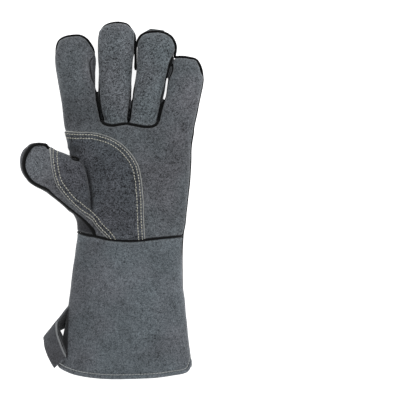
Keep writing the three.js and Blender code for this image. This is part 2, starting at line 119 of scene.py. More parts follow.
THUMB = [
    (50.3, 147.4), (55.8, 151.3), (61.8, 153.9), (66.2, 155.8), (70.7, 157.6), (75.7, 159.8), (81.1, 160.6),
    (85.1, 163.6), (87.3, 169.1), (89.5, 175), (92.2, 182.1), (94, 192), (95.6, 203), (97.2, 213.9),
    (98.6, 225.9), (97.3, 235.5), (88.8, 226.8), (81.1, 219.9), (75.3, 214.9), (68.9, 210.3), (60.7, 203.4),
    (51.8, 196.4), (46.7, 192.2), (39.3, 188.3), (31.7, 183.8), (26.6, 178.1), (23.4, 173.6), (21.8, 169.3),
    (21.1, 164.7), (20.8, 161.2), (21.1, 156.2), (22.5, 151.9), (24.6, 148.6), (27.5, 145.9), (30.5, 143.4),
    (33.9, 142.6), (40.2, 142.4), (44.4, 143.1), (47.8, 144.4),
]
# along the thumb (share of the glove), top, widest
THUMB_HEIGHTS = [
    (-0.08, 24, 15), (-0.055, 31, 16), (-0.022, 36.5, 19), (0.008, 39.5, 21), (0.039, 41, 22),
    (0.073, 40.5, 22), (0.112, 38.5, 21.5), (0.157, 36.5, 21), (0.2, 35, 20.5), (0.24, 34, 20),
]

HEM = [
    (-30, 300), (10, 334), (36, 352), (49.8, 361.1), (57.7, 365.8), (75.2, 371.7), (94.6, 374.6),
    (113.4, 375.6), (141.1, 375.1), (157.2, 374.5), (176.1, 372.6), (183.5, 371.9), (188.3, 370.5),
    (191.5, 367.6), (193.3, 362.6), (197, 354), (210, 330), (235, 290),
]
CUFF_SEAM = [
    (40, 225), (60, 228.5), (79.1, 232.4), (87.5, 234.6), (97.1, 235.9), (105.9, 237.9), (116.5, 239.5),
    (130.6, 240.2), (141.2, 239.7), (154.4, 238.3), (167.5, 237.1), (182.4, 236), (215, 234),
]
MIDDLE_FRONT = [
    (97.5, 5), (96.6, 40), (96.8, 60), (96.9, 87), (98.2, 101), (100.3, 111), (101.3, 116.2), (102.4, 121),
    (104.4, 123.6), (107.2, 125), (111, 125.9), (114.6, 126.1), (121, 124.8), (127.3, 123.9), (129, 124.1),
    (129.3, 118), (131.6, 101), (133.4, 87), (135.5, 60), (137.5, 5),
]
RING_FRONT = [
    (137.5, 5), (135.5, 60), (133.4, 87), (131.6, 101), (129.3, 118), (129, 124.1), (135, 125.4),
    (143.9, 127.3), (150.3, 127.6), (153.6, 126.9), (156.4, 125.4), (158, 122.6), (159.2, 117),
    (160.9, 110), (162.5, 104), (163.8, 99), (164.9, 95), (165.7, 90), (166.4, 84), (167.4, 78),
    (168.6, 74), (169.4, 70), (170.3, 66), (171.6, 62), (172.8, 59), (174.4, 56), (176.8, 52), (179.5, 45),
    (184.5, 20), (187, 5),
]
# plan strips that hold the side walls between the fingers
WALL_STRIPS = {
    "index_middle": [(76, 126.5), (76, 5), (117, 5), (116, 126.5)],
    "middle_ring": [(116, 126.5), (117, 5), (156, 5), (144, 126.5)],
    "ring_little": [(144, 126.5), (156, 5), (190, 5), (178, 126.5)],
}
# gap line x by y, then y, left high, left low, right high, right low (heights in mm)
GAP_X = {
    "index_middle": [(20, 96.6), (60, 96.8), (87, 97), (101, 98.4), (116, 101), (140, 103)],
    "middle_ring": [(20, 137), (60, 135.6), (87, 133), (101, 131.4), (118, 129.2), (140, 128.8)],
    "ring_little": [
        (20, 184), (45, 178.5), (52, 176), (56, 174), (59, 172.5), (62, 171.4), (66, 170.1), (70, 169.2),
        (74, 168.4), (78, 167.2), (84, 166.2), (90, 165.6), (95, 164.7), (99, 163.6), (104, 162.3),
        (110, 160.5), (116, 159.1), (122, 158.4), (140, 158.2),
    ],
}
WALL_BANDS = {
    "index_middle": [
        (130, 17.5, 5, 18.6, 5), (116, 15.8, 5, 19, 5), (106, 13.4, 5, 20, 5), (98, 13.2, 5, 20.5, 5),
        (92, 13.8, 5, 20.3, 5), (88, 14, 5, 19, 5), (84, 17.5, 5.2, 16.5, 5), (80, 20.6, 5.5, 14, 5.5),
        (74, 21.8, 5.5, 13, 5.5), (66, 22.6, 6, 12.6, 6), (61, 22.4, 6.5, 12.6, 7), (58, 20, 9, 12.5, 8),
        (55.5, 16, 12, 12.4, 8.5), (53.5, 13.7, 13.7, 12.3, 9), (44, 13.4, 14, 12.2, 11.6),
        (40, 13, 14, 12, 13), (30, 13, 14, 12, 14),
    ],
    "middle_ring": [
        (130, 18.5, 5, 18.5, 5), (116, 18, 5, 18, 5), (102, 18, 5, 18, 5), (94, 18, 5, 18, 5),
        (88, 15.6, 5, 16.6, 5), (82, 13, 5.5, 13, 5.5), (56, 12.6, 7, 12.6, 7), (48, 12.4, 9.5, 12.4, 9.5),
        (42, 12.2, 11.4, 12.2, 11.4), (38, 12, 12.6, 12, 12.6), (30, 12, 14, 12, 14),
    ],
    "ring_little": [
        (130, 18.5, 5, 17, 5), (116, 18.8, 5, 15, 5), (104, 19.3, 5, 14, 5), (98, 20, 5, 13.8, 5),
        (93, 19.8, 5, 13.8, 5), (88, 18.3, 5, 14.5, 5), (84, 16.5, 5.3, 16.5, 5), (80, 14, 5.5, 19, 5),
        (76, 12.8, 5.5, 21, 5.5), (70, 12.6, 6, 21.2, 6.5), (66, 12.6, 6.3, 20, 8), (63, 12.6, 6.7, 17, 12),
        (60, 12.6, 7.3, 13.8, 13.8), (56, 12.5, 8, 13, 14), (50, 12.4, 10, 13, 14), (44, 12.2, 12.2, 13, 14),
        (30, 12, 14, 13, 14),
    ],
}
# y, seam height round the back panel on the thumb side and on the little finger's side (mm)
BACK_SEAM = [
    (400, 10, 11), (330, 11, 11), (262, 11.5, 11.5), (250, 11.8, 14.6), (238, 11.6, 15.2), (228, 6.2, 15.2),
    (150, 6.2, 15.2), (126, 10.5, 14.4), (100, 11.5, 13.8), (70, 11.5, 13.8), (52, 12.2, 13.8),
    (44, 13.8, 13.8), (0, 13.8, 13.8),
]
THUMB_ZONE = [
    (80.2, 159), (64.1, 150.9), (49.8, 140.9), (29.9, 128), (0, 128), (0, 250), (101, 250),
    (101, 238), (98.6, 231), (89, 219), (81.5, 206),
]
# plan line of the thumb's front: the welt follows its lower left part
THUMB_FRONT = [
    (51, 147.3), (47.2, 145.8), (42.3, 144.9), (38.4, 144.9), (35, 146), (32.7, 148.2), (30.7, 151.3),
    (28.5, 155.3), (27.1, 159.6), (26.6, 163.5), (26.7, 167.5), (27.7, 171.4), (29.5, 175.4), (31.9, 178.9),
    (35, 182.3), (38.7, 184.9), (42.5, 186.9), (46.3, 188.6), (50, 190.3), (53.1, 193.4), (61.6, 200.6),
    (69.8, 207.1), (76.2, 212.2), (82.6, 217.4), (86.9, 221.4), (90.8, 225.4), (93.8, 228.8), (96, 232.2),
    (97.6, 236.4), (120, 262), (130, 150), (80, 120), (51, 120),
]
PATCH_EDGE = [
    (42.7, 129.8), (57.5, 130.2), (67.6, 131.2), (77.6, 132.5), (90.2, 133.1), (99.6, 134.3), (109, 137.1),
    (117.1, 140.9), (124.6, 146.2), (130.9, 152.5), (135.3, 158.1), (139.1, 165), (141.1, 171.3),
    (142.7, 180), (143.7, 189.5), (144.5, 200), (144.8, 214.7), (144.9, 262), (125, 262), (109.8, 238.9),
    (104.6, 233.3), (97.5, 225.5), (94, 220.6), (87.6, 215.5), (78.4, 207.5), (71, 200), (65.3, 193),
    (59.7, 184.9), (55.9, 173.7), (53.8, 162.9), (52.1, 153.6), (50, 146.9), (48.6, 138.1),
]
# the strap: inner x, y, height, outer x, y, height
STRAP = [
    (71.7, 302.5, 20.5, 68, 326.5, 8.6), (65.6, 310.5, 24.8, 60.5, 330.5, 8),
    (60.8, 317.1, 27.4, 50.8, 334.2, 9.6), (58.6, 320.9, 29, 44.3, 336.8, 14.4),
    (58.4, 326.7, 30, 44.5, 341, 16.8), (59.4, 332.8, 30.5, 45.6, 347.4, 17.4),
    (62.2, 341.2, 30.6, 48.6, 356, 17.3), (65.3, 349, 30, 52, 363, 17),
    (68.1, 354.6, 29, 54.9, 367.7, 16.4),
]

# the strap's inner layer, shaded nearly black in hang_loop as painted shade: four points (x, y, height)
# across each row
STRAP_BACK = [
    (54, 325, 18, 58.8, 322, 25.5, 59.6, 321.9, 25, 60, 322.5, 23.5),
    (53, 331, 17, 59.3, 327.6, 25, 60.1, 327.7, 24.6, 60.6, 328.3, 22.5),
    (54.5, 336, 17, 60.5, 333, 25, 61.4, 333, 24.6, 62.7, 334.3, 19),
    (55.5, 340, 17, 61.7, 336.5, 25.6, 62.7, 336.3, 25.2, 63.6, 336.8, 19.5),
    (58, 346, 18, 63.8, 341.7, 26.6, 64.8, 341.6, 26.2, 65.4, 341.5, 25),
    (61, 352.5, 20, 66.5, 347.8, 28, 67.3, 347.7, 27.7, 67.8, 347.6, 27),
    (63.5, 357, 20, 67.8, 351.5, 28.4, 68.5, 351.2, 28.2, 68.8, 351, 27.8),
]


# plan maps

CELL = 0.8
XS = np.arange(-114.0, 86.0, CELL)
YS = np.arange(-14.0, 366.0, CELL)
GX, GY = np.meshgrid(XS, YS, indexing="ij")


def curve(points, closed, steps=4):
    """Catmull-Rom points through the given ones."""
    p = np.asarray(points, float)
    if closed:
        a, b, c, d = (np.roll(p, k, 0) for k in (1, 0, -1, -2))
    else:
        q = np.vstack([2 * p[0] - p[1], p, 2 * p[-1] - p[-2]])
        a, b, c, d = q[:-3], q[1:-2], q[2:-1], q[3:]
    t = (np.arange(steps) / steps)[None, :, None]
    a, b, c, d = (v[:, None, :] for v in (a, b, c, d))
    out = 0.5 * (2 * b + (c - a) * t + (2 * a - 5 * b + 4 * c - d) * t**2 + (3 * b - a - 3 * c + d) * t**3)
    out = out.reshape(-1, p.shape[1])
    return out if closed else np.vstack([out, p[-1]])


def to_segment(ax, ay, bx, by):
    """Nearest share along a segment for each point of the plan grid, and the squared distance to it."""
    ex, ey = bx - ax, by - ay
    t = np.clip(((GX - ax) * ex + (GY - ay) * ey) / (ex * ex + ey * ey + 1e-9), 0, 1)
    return t, (GX - ax - t * ex) ** 2 + (GY - ay - t * ey) ** 2


def inside_distance(rows, smooth=True):
    """Distance to a closed plan outline on the plan grid, positive inside."""
    p = plan(rows)
    p = curve(p, True) if smooth else p
    best = np.full(GX.shape, 1e12)
    inside = np.zeros(GX.shape, bool)
    for (ax, ay), (bx, by) in zip(p, np.roll(p, -1, 0)):
        np.minimum(best, to_segment(ax, ay, bx, by)[1], out=best)
        if ay != by:
            inside ^= ((ay > GY) != (by > GY)) & (GX < (bx - ax) * (GY - ay) / (by - ay) + ax)
    return np.sqrt(best) * np.where(inside, 1, -1)


def line_distance(rows):
    """Unsigned distance to an open plan line, and the share along it."""
    p = curve(plan(rows), False)
    steps = np.hypot(*np.diff(p, axis=0).T)
    start = np.concatenate([[0], np.cumsum(steps)])
    best = np.full(GX.shape, 1e12)
    share = np.zeros(GX.shape)
    for i, length in enumerate(steps):
        t, d = to_segment(*p[i], *p[i + 1])
        near = d < best
        best = np.where(near, d, best)
        share = np.where(near, (start[i] + t * length) / start[-1], share)
    return np.sqrt(best), share


def look(grid, x, y, x0=XS[0], y0=YS[0], cell=CELL):
    """Bilinear look-up of a plan map."""
    u = np.clip((x - x0) / cell, 0, grid.shape[0] - 1.001)
    v = np.clip((y - y0) / cell, 0, grid.shape[1] - 1.001)
    i, j = u.astype(int), v.astype(int)
    u, v = u - i, v - j
    near = grid[i, j] * (1 - u) * (1 - v) + grid[i + 1, j] * u * (1 - v)
    return near + grid[i, j + 1] * (1 - u) * v + grid[i + 1, j + 1] * u * v


def blurred(values, sigma):
    """Gaussian blur of a one-dimensional table."""
    r = int(4 * sigma) + 1
    k = np.exp(-0.5 * (np.arange(-r, r + 1) / sigma) ** 2)
    padded = np.pad(values, r, mode="edge")
    return np.convolve(padded, k / k.sum(), mode="valid")


def by_row(table, column, sigma=4.0):
    """A column of a table whose first column is plan y, smoothed, as one value for each grid row."""
    rows = sorted(table, key=lambda r: -r[0])
    y = [plan_y(r[0]) for r in rows]
    return blurred(np.interp(YS, y, [r[column] for r in rows]), sigma / CELL)


def step(x):
    t = np.clip(x, 0, 1)
    return t * t * (3 - 2 * t)


def unit(v):
    return v / np.maximum(np.linalg.norm(v, axis=-1, keepdims=True), 1e-9)


# the body

def finger_maps(outline, inset_from, proud):
    """w is 0 on the finger's middle and 1 at its outline; the welt stands proud of the leather at the tip."""
    d = inside_distance(outline)
    tip = plan_y(min(p[1] for p in outline))
    d = d - proud * step((GY - (tip - inset_from)) / 8)
    half = np.maximum(d.max(0), 4)
    start = np.searchsorted(YS, tip - 21)
    half[start:] = half[start]
    low = np.searchsorted(YS, 243)
    half[:low] = half[low]
    half = blurred(half, 6 / CELL)[None, :] * np.ones_like(GX)
    down = np.clip((tip - GY) / 90, 0, 1)
    return {
        "w": 1 - d / half, "a": half,
        "top": 25.6 - 1.8 * step((GY - tip + 26) / 26) + 0.6 * down,
        "mid": 13.6 + 0 * GX, "low": 0.4 + 2.4 * step(1 - (tip - GY) / 60),
    }


def hand_maps():
    left = (by_row(HAND, 1, 3) - MIDDLE_X) * UNIT
    right = (by_row(HAND, 2, 3) - MIDDLE_X) * UNIT
    middle, half = (left + right) / 2, (right - left) / 2
    across = np.abs(GX - middle) / half
    beyond = np.clip((GY - 243) / 15, 0, None)
    w = (across**POWER + beyond**POWER) ** (1 / POWER)
    one = np.ones_like(GX)
    return {
        "w": w, "a": half * one, "top": by_row(HAND, 3, 8) * one, "mid": by_row(HAND, 4, 8) * one,
        "low": -4.0 * one,
    }


THUMB_X, THUMB_Y = plan([(88.0, 200.2)])[0]
THUMB_AIM = np.array([-0.8363, 0.5482])


def along_thumb(x, y):
    return ((x - THUMB_X) * THUMB_AIM[0] + (y - THUMB_Y) * THUMB_AIM[1]) / GLOVE_LENGTH


def thumb_maps():
    d = inside_distance(THUMB)
    t = along_thumb(GX, GY)
    tip = step((t - 0.13) / 0.05)
    d = d - 0.5 * tip
    shares = np.linspace(-0.1, 0.26, 400)
    rows = np.array(THUMB_HEIGHTS)
    top = np.interp(t, shares, blurred(np.interp(shares, rows[:, 0], rows[:, 1]), 12))
    mid = np.interp(t, shares, blurred(np.interp(shares, rows[:, 0], rows[:, 2]), 12))
    a = 21.0 - 1.5 * tip
    return {"w": 1 - d / a, "a": a, "top": top, "mid": mid, "low": 9 + 3 * step((t - 0.15) / 0.08)}


# outline, where its welt starts to show before the tip, how far it stands out, its size elsewhere
# and its name; the seam at the ring finger's tip is too short to follow, so its welt stays as loaded
TIPS = [
    (INDEX, 20, 1.3, 1.0, "thumb_side_welt"), (MIDDLE, 10, 1.2, 0.45, "middle_tip_welt"),
    (RING, 15, 1.7, 0.15, "ring_tip_welt"), (LITTLE, 22, 1.8, 1.0, "little_side_welt"),
]
FORMS = [hand_maps()] + [finger_maps(*row[:3]) for row in TIPS] + [thumb_maps()]
THUMB_BLEND = 1.2 + 5.5 * step((THUMB_Y - 4 - GY) / 14)


def form_distance(z, w, a, top, mid, low):
    """Distance-like value of one swollen form: w is 0 on its middle line and 1 at its outline."""
    w = np.maximum(w, 0)
    above = z > mid
    reach = np.where(above, top - mid, mid - low)
    v = np.abs(z - mid) / reach
    rho = np.maximum((w**POWER + v**POWER) ** (1 / POWER), 0.05)
    slope = np.sqrt((w ** (POWER - 1) / a) ** 2 + (v ** (POWER - 1) / reach) ** 2) * rho ** (1 - POWER)
    return (rho - 1) / np.maximum(slope, 1 / 60)


def smooth_min(a, b, k):
    h = np.maximum(k - np.abs(a - b), 0)
    return np.minimum(a, b) - h * h / (4 * k)


def body(maps, z, blend):
    """Distance-like field, negative inside the glove, from plan maps already looked up."""
    parts = [form_distance(z, **m) for m in maps]
    fingers = parts[1]
    for p in parts[2:5]:
        fingers = smooth_min(fingers, p, 0.7)
    hand = smooth_min(parts[0], fingers, 2.0)
    whole = smooth_min(hand, parts[5], blend)
    return -smooth_min(-whole, z, 2.4)


def body_at(p):
    maps = [{k: look(g, p[:, 0], p[:, 1]) for k, g in form.items()} for form in FORMS]
    return body(maps, p[:, 2], look(THUMB_BLEND, p[:, 0], p[:, 1]))


def body_normal(p, e=0.35):
    g = np.empty_like(p)
    for axis in range(3):
        d = np.zeros(3)
        d[axis] = e
        g[:, axis] = body_at(p + d) - body_at(p - d)
    return unit(g), np.linalg.norm(g, axis=1) / (2 * e)


def neighbours(axis):
    """Slices that pair each value of a block with the next one along an axis."""
    low, high = [slice(None)] * 3, [slice(None)] * 3
    low[axis], high[axis] = slice(0, -1), slice(1, None)
    return low, high


def surface_net():
    """Vertices and triangles of the body's surface."""
    x = np.arange(-111.5, 80.0, VOXEL)
    y = np.arange(-9.0, 361.0, VOXEL)
    z = np.arange(-2.6, 45.0, VOXEL)
    px, py = np.meshgrid(x, y, indexing="ij")
    maps = [{k: look(g, px, py)[..., None] for k, g in form.items()} for form in FORMS]
    f = body(maps, z[None, None, :], look(THUMB_BLEND, px, py)[..., None])
    last = np.minimum(f.shape[2] - 1 - np.argmax((f < 0)[:, :, ::-1], axis=2), f.shape[2] - 2)
    f0 = np.take_along_axis(f, last[..., None], 2)[..., 0]
    f1 = np.take_along_axis(f, last[..., None] + 1, 2)[..., 0]
    top = np.where((f < 0).any(2), z[last] + VOXEL * f0 / np.where(f0 == f1, 1, f0 - f1), 18.5)
    cells = tuple(n - 1 for n in f.shape)
    total = np.zeros(cells + (3,))
    count = np.zeros(cells)
    neg = f < 0
    for axis in range(3):
        lo, hi = neighbours(axis)
        a, b = f[tuple(lo)], f[tuple(hi)]
        cross = neg[tuple(lo)] != neg[tuple(hi)]
        t = np.where(cross, a / np.where(a == b, 1, a - b), 0)
        others = [k for k in range(3) if k != axis]
        for i in (0, 1):
            for j in (0, 1):
                cut = [slice(None)] * 3
                cut[others[0]] = slice(i, i + cells[others[0]])
                cut[others[1]] = slice(j, j + cells[others[1]])
                c = cross[tuple(cut)]
                count += c
                total[..., axis] += np.where(c, t[tuple(cut)], 0)
                total[..., others[0]] += c * i
                total[..., others[1]] += c * j
    live = count > 0
    number = np.full(cells, -1)
    number[live] = np.arange(live.sum())
    at = np.argwhere(live)
    v = (at + total[live] / count[live][:, None]) * VOXEL + np.array([x[0], y[0], z[0]])
    quads = []
    for axis in range(3):
        o1, o2 = [(1, 2), (2, 0), (0, 1)][axis]
        lo, hi = neighbours(axis)
        for o in (o1, o2):
            lo[o] = hi[o] = slice(1, -1)
        a, b = neg[tuple(lo)], neg[tuple(hi)]
        e = np.argwhere(a != b)
        flip = a[a != b]
        base = e.copy()
        base[:, o1] += 1
        base[:, o2] += 1
        corner = []
        for d1, d2 in ((0, 0), (1, 0), (1, 1), (0, 1)):
            c = base.copy()
            c[:, o1] -= d1
            c[:, o2] -= d2
            corner.append(number[c[:, 0], c[:, 1], c[:, 2]])
        q = np.stack(corner, 1)
        q[~flip] = q[~flip][:, ::-1]
        quads.append(q)
    q = np.vstack(quads)
    q = q[(q >= 0).all(1)]
    d1 = np.linalg.norm(v[q[:, 0]] - v[q[:, 2]], axis=1)
    d2 = np.linalg.norm(v[q[:, 1]] - v[q[:, 3]], axis=1)
    s = d1 <= d2
    tri = np.vstack([q[s][:, [0, 1, 2]], q[s][:, [0, 2, 3]], q[~s][:, [0, 1, 3]], q[~s][:, [1, 2, 3]]])
    for _ in range(3):
        n, g = body_normal(v)
        v = v - n * (body_at(v) / np.maximum(g, 0.4))[:, None].clip(-1, 1) * 0.9
    return v, tri, (px, py, top)


# noise

def lattice(i, j, k, seed):
    h = (i * 374761393 + j * 668265263 + k * 2147483647 + seed * 974634777) & 0xFFFFFFFF
    h = ((h ^ (h >> 13)) * 1274126177) & 0xFFFFFFFF
    return ((h ^ (h >> 16)) & 0xFFFF) / 65535.0 * 2 - 1


def noise(p, size, seed):
    """Smooth value noise from -1 to 1."""
    q = p / size
    i = np.floor(q).astype(np.int64)
    f = q - i
    f = f * f * f * (f * (f * 6 - 15) + 10)
    out = 0
    for corner in np.ndindex(2, 2, 2):
        w = np.where(corner, f, 1 - f)
        out = out + w[:, 0] * w[:, 1] * w[:, 2] * lattice(*(i + corner).T, seed)
    return out


# relief

# depth (down is positive), half width, and the plan line
FOLDS = [
    (2.6, 2.2, [
        (83.5, 161.5), (86.6, 167.5), (89.4, 176), (91.2, 186), (92.8, 197), (93.6, 207), (93.5, 214),
    ]),
    (-0.9, 3.0, [(79.5, 163), (83, 171), (85.4, 180), (87.4, 190), (88.6, 200)]),
    (-0.55, 1.6, [(90.8, 160), (98, 156.2), (105.5, 153)]),
    (0.5, 1.6, [(92, 163.5), (99, 159.5), (107, 156.4)]),
    (0.8, 1.5, [(158.6, 124), (160.6, 129), (163.4, 136)]),
    (0.5, 1.6, [(154, 128.5), (156, 134), (159, 141)]),
    (0.9, 1.1, [(103.6, 115), (105.6, 118.4), (108.4, 121.6)]),
    (0.7, 1.1, [(105.8, 112.5), (108, 116), (111.6, 119.4)]),
    (0.9, 1.1, [(157, 114), (154.4, 118.6), (150.6, 122)]),
    (0.7, 1.1, [(155.6, 110), (152.4, 115), (149, 118.4)]),
    (0.7, 2.6, [(64, 106), (76, 103.6), (90, 105.4)]),
    (0.5, 3.0, [(58, 76), (70, 78), (84, 75)]),
    (0.5, 3.0, [(101, 84), (116, 86), (129, 83)]),
    (0.5, 3.0, [(137, 86), (150, 84), (163, 87)]),
    (0.6, 2.6, [(170, 92), (184, 95), (199, 93)]),
    (0.9, 5.0, [(145, 150), (160, 158), (186, 160)]),
    (0.8, 5.0, [(150, 196), (166, 202), (185, 204)]),
    (0.8, 4.0, [(98, 206), (112, 214), (130, 216)]),
    (1.0, 6.0, [(79, 262), (100, 270), (122, 268)]),
    (1.0, 7.0, [(132, 296), (154, 306), (180, 304)]),
    (0.8, 6.0, [(84, 318), (104, 326), (130, 330)]),
    (-0.7, 6.0, [(86, 290), (106, 296), (126, 292)]),
    (0.9, 2.2, [(60, 166), (66, 176), (70, 188), (76, 198)]),
    (0.7, 2.6, [(34, 150), (38, 160), (42, 170)]),
]


def relief(p, n):
    """How far the leather is pushed in or out, in millimetres."""
    up = step((n[:, 2] + 0.25) / 0.6)
    floor = step((p[:, 2] - 1.2) / 4)
    out = (0.55 * noise(p, 26, 1) + 0.28 * noise(p, 11, 2) + 0.10 * noise(p, 4.5, 3)) * floor
    cuff = step((130 - p[:, 1]) / 50)
    out += 0.7 * cuff * noise(p * [1, 0.35, 0.2], 24, 4) * floor
    for depth, width, rows in FOLDS:
        d, s = line_distance(rows)
        bump = np.exp(-((d / width) ** 2)) * step(np.minimum(s, 1 - s) / 0.25 + 0.15)
        out -= depth * look(bump, p[:, 0], p[:, 1]) * up
    return out


# cutting a mesh

def cut(mesh, s, level=0.0):
    """Splits the triangles where s crosses level. Returns the mesh and s on its vertices."""
    v, t, extra = mesh["v"], mesh["t"], mesh["x"]
    s = s - level
    s = np.where(np.abs(s) < 0.02, 0.0, s)
    sign = np.sign(s).astype(int)
    st = sign[t]
    mixed = (st.max(1) > 0) & (st.min(1) < 0)
    plain = t[~mixed]
    m = t[mixed]
    edges = np.vstack([m[:, [0, 1]], m[:, [1, 2]], m[:, [2, 0]]])
    edges.sort(axis=1)
    edges = np.unique(edges, axis=0)
    edges = edges[sign[edges[:, 0]] * sign[edges[:, 1]] < 0]
    a, b = edges[:, 0], edges[:, 1]
    w = (s[a] / (s[a] - s[b]))[:, None]
    nv = np.vstack([v, v[a] * (1 - w) + v[b] * w])
    nx = np.vstack([extra, extra[a] * (1 - w) + extra[b] * w])
    ns = np.concatenate([s, np.zeros(len(a))])
    n0 = len(v)
    key = a.astype(np.int64) * n0 + b
    order = np.argsort(key)
    key = key[order]

    def middle(i, j):
        lo, hi = np.minimum(i, j).astype(np.int64), np.maximum(i, j)
        return n0 + order[np.searchsorted(key, lo * n0 + hi)]

    made = [plain]
    sm = sign[m]
    for turn in range(3):
        i, j, k = m[:, turn], m[:, (turn + 1) % 3], m[:, (turn + 2) % 3]
        si, sj, sk = sm[:, turn], sm[:, (turn + 1) % 3], sm[:, (turn + 2) % 3]
        lone = (si * sj < 0) & (si * sk < 0)
        if lone.any():
            i1, j1, k1 = i[lone], j[lone], k[lone]
            ij, ik = middle(i1, j1), middle(i1, k1)
            made += [np.stack([i1, ij, ik], 1), np.stack([ij, j1, k1], 1), np.stack([ij, k1, ik], 1)]
        flat = (si == 0) & (sj * sk < 0)
        if flat.any():
            i1, j1, k1 = i[flat], j[flat], k[flat]
            jk = middle(j1, k1)
            made += [np.stack([i1, j1, jk], 1), np.stack([i1, jk, k1], 1)]
    return {"v": nv, "t": np.vstack(made), "x": nx}, ns


def tidy(mesh, keep):
    """The chosen triangles with only their own vertices."""
    t = mesh["t"][keep]
    used = np.unique(t)
    number = np.full(len(mesh["v"]), -1)
    number[used] = np.arange(len(used))
    return {"v": mesh["v"][used], "t": number[t], "x": mesh["x"][used]}, used


def keep_inside(mesh, value, level):
    """The part of the mesh where value(mesh) is over level, cut exactly at it."""
    out, s = cut(mesh, value(mesh), level)
    c = s[out["t"]]
    out, _ = tidy(out, (c.min(1) >= -1e-9) & (c.max(1) > 1e-9))
    return out


def iso_chains(mesh, s):
    """Lines on the mesh where s is zero, as chains of (point, normal) rows."""
    t = mesh["t"]
    s = np.where(np.abs(s) < 1e-6, 1e-6, s)
    neg = s[t] < 0
    mixed = neg.any(1) & ~neg.all(1)
    rows = {}
    links = {}
    vx = np.hstack([mesh["v"], mesh["x"][:, :3]])
    for tri, ng in zip(t[mixed], neg[mixed]):
        ends = []
        for i in range(3):
            j = (i + 1) % 3
            if ng[i] != ng[j]:
                a, b = sorted((int(tri[i]), int(tri[j])))
                if (a, b) not in rows:
                    w = s[a] / (s[a] - s[b])
                    rows[(a, b)] = vx[a] * (1 - w) + vx[b] * w
                ends.append((a, b))
        links.setdefault(ends[0], []).append(ends[1])
        links.setdefault(ends[1], []).append(ends[0])
    chains = []
    left = set(links)
    starts = [k for k in links if len(links[k]) == 1] + list(links)
    for start in starts:
        if start not in left:
            continue
        chain = [start]
        left.discard(start)
        while True:
            onward = [k for k in links[chain[-1]] if k in left]
            if not onward:
                break
            chain.append(onward[0])
            left.discard(onward[0])
        closed = len(chain) > 3 and chain[0] in links[chain[-1]]
        chains.append((np.array([rows[k] for k in chain]), closed))
    return chains


def resampled(rows, closed, pitch, sigma):
    """Evenly spaced, smoothed rows of a chain."""
    if closed:
        rows = np.vstack([rows, rows[:1]])
    d = np.concatenate([[0], np.cumsum(np.linalg.norm(np.diff(rows[:, :3], axis=0), axis=1))])
    keep = np.concatenate([[True], np.diff(d) > 1e-6])
    rows, d = rows[keep], d[keep]
    fine = np.arange(0, d[-1], 0.4)
    if len(fine) < 4:
        return None
    out = np.stack([np.interp(fine, d, rows[:, k]) for k in range(rows.shape[1])], 1)
    r = max(1, int(3 * sigma / 0.4))
    k = np.exp(-0.5 * (np.arange(-r, r + 1) * 0.4 / sigma) ** 2)
    k /= k.sum()
    if closed:
        padded = [np.pad(c, r, mode="wrap") for c in out.T]
    elif len(out) > r + 2:
        padded = [np.pad(c, r, mode="reflect", reflect_type="odd") for c in out.T]
    else:
        padded = [np.pad(c, r, mode="edge") for c in out.T]
    out = np.stack([np.convolve(c, k, "valid") for c in padded], 1)
    count = max(3, int(round(len(out) * 0.4 / pitch)))
    pick = np.linspace(0, len(out) - 1, count + (0 if closed else 1), endpoint=not closed)
    out = np.stack([np.interp(pick, np.arange(len(out)), c) for c in out.T], 1)
    out[:, 3:6] = unit(out[:, 3:6])
    return out


# objects

def make_object(name, v, t, looks=None, *, material, slot=None, nodes=(), sharp=48):
    """A piece from vertices in millimetres and triangles, with looks as values for its material."""
    mesh = bpy.data.meshes.new(name)
    mesh.vertices.add(len(v))
    mesh.vertices.foreach_set("co", ((v + SHIFT) / 1000).astype(np.float32).ravel())
    mesh.loops.add(len(t) * 3)
    mesh.loops.foreach_set("vertex_index", t.astype(np.int32).ravel())
    mesh.polygons.add(len(t))
    mesh.polygons.foreach_set("loop_start", np.arange(0, len(t) * 3, 3, dtype=np.int32))
    mesh.polygons.foreach_set("loop_total", np.full(len(t), 3, dtype=np.int32))
    mesh.polygons.foreach_set("use_smooth", np.ones(len(t), dtype=bool))
    mesh.update(calc_edges=True)
    mesh.validate()
    for key, values in (looks or {}).items():
        a = mesh.attributes.new(key, "FLOAT", "POINT")
        a.data.foreach_set("value", values.astype(np.float32))
    mesh.set_sharp_from_angle(angle=math.radians(sharp))
    mesh.materials.append(material)
    o = bpy.data.objects.new(name, mesh)
    bpy.context.scene.collection.objects.link(o)
    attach(o, "root")
    if nodes:
        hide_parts(*nodes)
    return o


def boundary(t):
    """Directed edges that only one triangle has."""
    e = np.vstack([t[:, [0, 1]], t[:, [1, 2]], t[:, [2, 0]]])
    n = int(t.max()) + 1
    key = np.minimum(e[:, 0], e[:, 1]).astype(np.int64) * n + np.maximum(e[:, 0], e[:, 1])
    _, inv, cnt = np.unique(key, return_inverse=True, return_counts=True)
    return e[cnt[inv] == 1]


def thickened(outer, inner, t, looks):
    """Closed shell from an outer and an inner surface with the same triangles."""
    n = len(outer)
    b = boundary(t)
    v = np.vstack([outer, inner])
    c, d = b.T
    rim = np.vstack([np.stack([d, c, c + n], 1), np.stack([d, c + n, d + n], 1)])
    tri = np.vstack([t, t[:, ::-1] + n, rim])
    return v, tri, {k: np.concatenate(pair) for k, pair in looks.items()}


